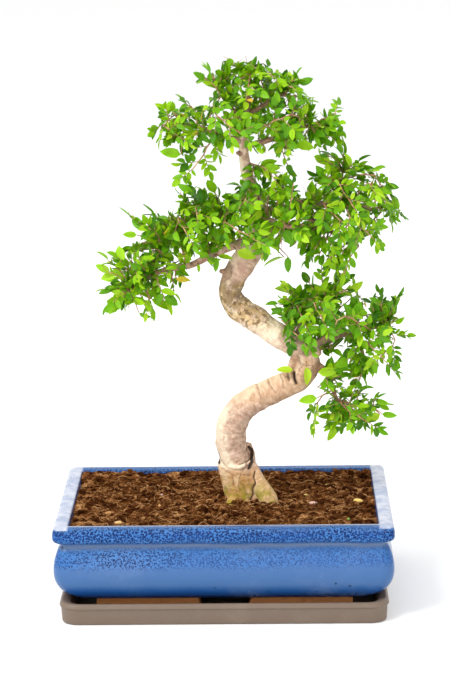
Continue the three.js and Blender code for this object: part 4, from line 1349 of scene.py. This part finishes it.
# A fine twig from the wood to its end, with leaves to its left and right in turn
def growTwig(leaves, stems, shapes, start, end, outward, rng):
    leafMesh, strand = shapes
    away = end - start
    middle = start.lerp(end, 0.5) + Vector((0, 0, rng.uniform(*foliage["thicketRise"]))) * away.length
    sway = foliage["thicketSway"]
    middle += Vector([rng.uniform(-sway, sway) for _ in range(3)]) * away.length
    thick, thin = foliage["thicketTwig"]
    points = [(*(start / mm), thick), (*(middle / mm), (thick + thin) / 2), (*(end / mm), thin)]
    made = framesAlong(smoothLine(points, 4))
    addCopy(stems, strand, alongFrames(made), {})
    places = [turn.translation for turn, radius in made]
    for _ in range(foliage["bareTwigs"]):
        foot = rng.choice(places[2:])
        heading = (end - start).normalized() + Vector([rng.uniform(-1, 1) for _ in range(3)])
        heading = heading.normalized() * rng.uniform(*foliage["bareLength"]) * mm
        aside = heading.orthogonal().normalized() * thin * 0.8 * mm
        above = heading.cross(aside).normalized() * thin * 0.8 * mm
        bow = aside * rng.uniform(-4, 4)

        def bare(spot):
            skin = (aside * spot.y + above * spot.z) * (1 - 0.5 * spot.x)
            return foot + heading * spot.x + bow * 4 * spot.x * (1 - spot.x) + skin

        if insideBox(foot + heading):
            addCopy(stems, strand, bare, {})
    youth = rng.gauss(*foliage["twigYouth"])
    gone, hand = 0, rng.choice((-1, 1))
    for i in range(len(places) - 1, 0, -1):
        here, before = places[i], places[i - 1]
        ahead = (here - before).normalized()
        side = outward.cross(ahead).normalized()
        step = (here - before).length / mm
        first = math.ceil(gone / foliage["thicketStep"]) * foliage["thicketStep"]
        while first < gone + step and first < foliage["thicketReach"]:
            spot = here.lerp(before, (first - gone) / step)
            turn = hand * rng.uniform(0.5, 1.15) if first > 0 else 0
            along = ahead * math.cos(turn) + side * math.sin(turn) + outward * rng.uniform(-0.35, 0.55)
            short, longest = foliage["thicketLeaf"]
            long = (short + (longest - short) * rng.random() ** 1.4) * mm
            addLeaf(leaves, leafMesh, spot, along.normalized(), outward, long, youth, rng)
            first += foliage["thicketStep"]
            hand = -hand
        gone += step


# Whether a place lies inside the box of the part's own solids
def insideBox(spot):
    low, high = cadBox
    return all(low[i] + 0.5 * mm < spot[i] < high[i] - 0.5 * mm for i in range(3))


def newLeaves():
    leaves = bmesh.new()
    leaves.loops.layers.uv.new("UVMap")
    leaves.verts.layers.float.new("youth")
    leaves.verts.layers.float.new("yellowing")
    return leaves, bmesh.new()


def finishLeaves(leaves, stems, leafName, stemName, looks, replaced=()):
    newPiece(leaves, leafName, looks[:1], replaced, sharp=70)
    newPiece(stems, stemName, looks[1:])


def makeSprays(shapes, looks, finder):
    count = 0
    for node in sorted(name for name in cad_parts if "_spray_" in name):
        rng = random.Random(node)
        blades, rim = readSpray(node)
        leaves, stems = newLeaves()
        path = readTwig(rim, finder)
        thick, thin = foliage["twigRadius"]
        line = [(spot, (thick + (thin - thick) * i / len(path)) * mm) for i, spot in enumerate(path)]
        addLimb(stems, line, 6)
        for blade in blades:
            growSprig(leaves, stems, shapes, blade, rng)
        count += len(blades)
        leafName, stemName = (node.replace("_spray_", part) for part in ("_leaves_", "_twig_"))
        finishLeaves(leaves, stems, leafName, stemName, looks, [node])
    print("foliage:", count, "sprigs")


# Short shoots on the thin branches, which fill the clouds from inside
def makeShoots(shapes, looks):
    rng = random.Random("shoots")
    leaves, stems = newLeaves()
    count, side = 0, foliage["shootTurn"]
    for line in branchLines:
        made = framesAlong(smoothLine(line, wood["perSpan"]))
        gap = rng.uniform(0, 4)
        for (turn, radius), (after, _) in zip(made, made[1:]):
            step = (after.translation - turn.translation).length / mm
            gap -= step
            while gap < 0 and radius / mm < foliage["shootWood"]:
                gap += foliage["shootStep"]
                spot = turn.translation.lerp(after.translation, rng.random())
                along = (after.translation - turn.translation).normalized()
                out = Matrix.Rotation(rng.uniform(-side, side), 3, along) @ Vector((0, -0.25, 1))
                out = (out - along * out.dot(along)).normalized()
                ahead = (out + along * rng.uniform(*foliage["shootLean"])).normalized()
                length = rng.uniform(*foliage["shootLength"]) * mm
                across = ahead.cross(out.lerp(Vector((0, -0.3, 1)), 0.5)).normalized()
                face = across.cross(ahead).normalized()
                base = spot + ahead * radius * 0.7
                growSprig(leaves, stems, shapes, (base, base + ahead * length, face), rng)
                count += 1
            gap = max(gap, 0)
    finishLeaves(leaves, stems, "inner_leaves", "inner_twigs", looks)
    print("foliage:", count, "inner shoots")


# Fine twigs that grow from the nearest branches into each cloud
def makeThickets(shapes, looks, woodFrames):
    thinWood = [turn.translation for turn, radius, _ in woodFrames if radius / mm < foliage["thicketWood"]]
    finder = makeFinder(thinWood)
    for name, clouds in foliage["thickets"].items():
        rng = random.Random(name)
        leaves, stems = newLeaves()
        for centre, reach, count in clouds:
            for _ in range(count):
                out = Vector([rng.gauss(0, 1) for _ in range(3)]).normalized()
                share = rng.uniform(0.35, 1.0) ** 0.5
                end = (Vector(centre) + Vector([out[i] * reach[i] for i in range(3)]) * share) * mm
                start = finder.find(end)[0]
                outward = (out + Vector((0, -0.3, 0.6))).normalized()
                if insideBox(end):
                    growTwig(leaves, stems, shapes, start, end, outward, rng)
        finishLeaves(leaves, stems, name + "_thicket_leaves", name + "_thicket_twigs", looks)
    print("foliage: fine twigs")


# Single leaves, each on a fine stalk from the nearest wood
def makeSingles(shapes, looks, finder):
    leafMesh, strand = shapes
    rng = random.Random("singles")
    leaves, stems = newLeaves()
    for base, (tipX, tipZ), youth in foliage["singles"]:
        start = Vector(base) * mm
        end = Vector((tipX, base[1] - 3, tipZ)) * mm
        foot = finder.find(start)[0]
        middle = foot.lerp(start, 0.5) + Vector((0, 0, 1)) * (start - foot).length * 0.12
        stalk = zip((foot, middle, start), foliage["stalk"])
        made = framesAlong(smoothLine([(*(spot / mm), thick) for spot, thick in stalk], 4))
        addCopy(stems, strand, alongFrames(made), {})
        ahead = (end - start).normalized()
        addLeaf(leaves, leafMesh, start, ahead, Vector((0, -0.8, 0.6)), (end - start).length, youth, rng)
    finishLeaves(leaves, stems, "single_leaves", "single_stalks", looks)
    print("foliage: single leaves")


leafMesh = makeLeafMesh()
foliageLooks = [makeLeafLook(), makeTwigLook()]
sprigShapes, twigShapes = (leafMesh, makeStrand(4, 3)), (leafMesh, makeStrand(5, 8))
makeSprays(sprigShapes, foliageLooks, woodFinder)
makeShoots(sprigShapes, foliageLooks)
makeThickets(twigShapes, foliageLooks, woodFrames)
makeSingles(twigShapes, foliageLooks, woodFinder)
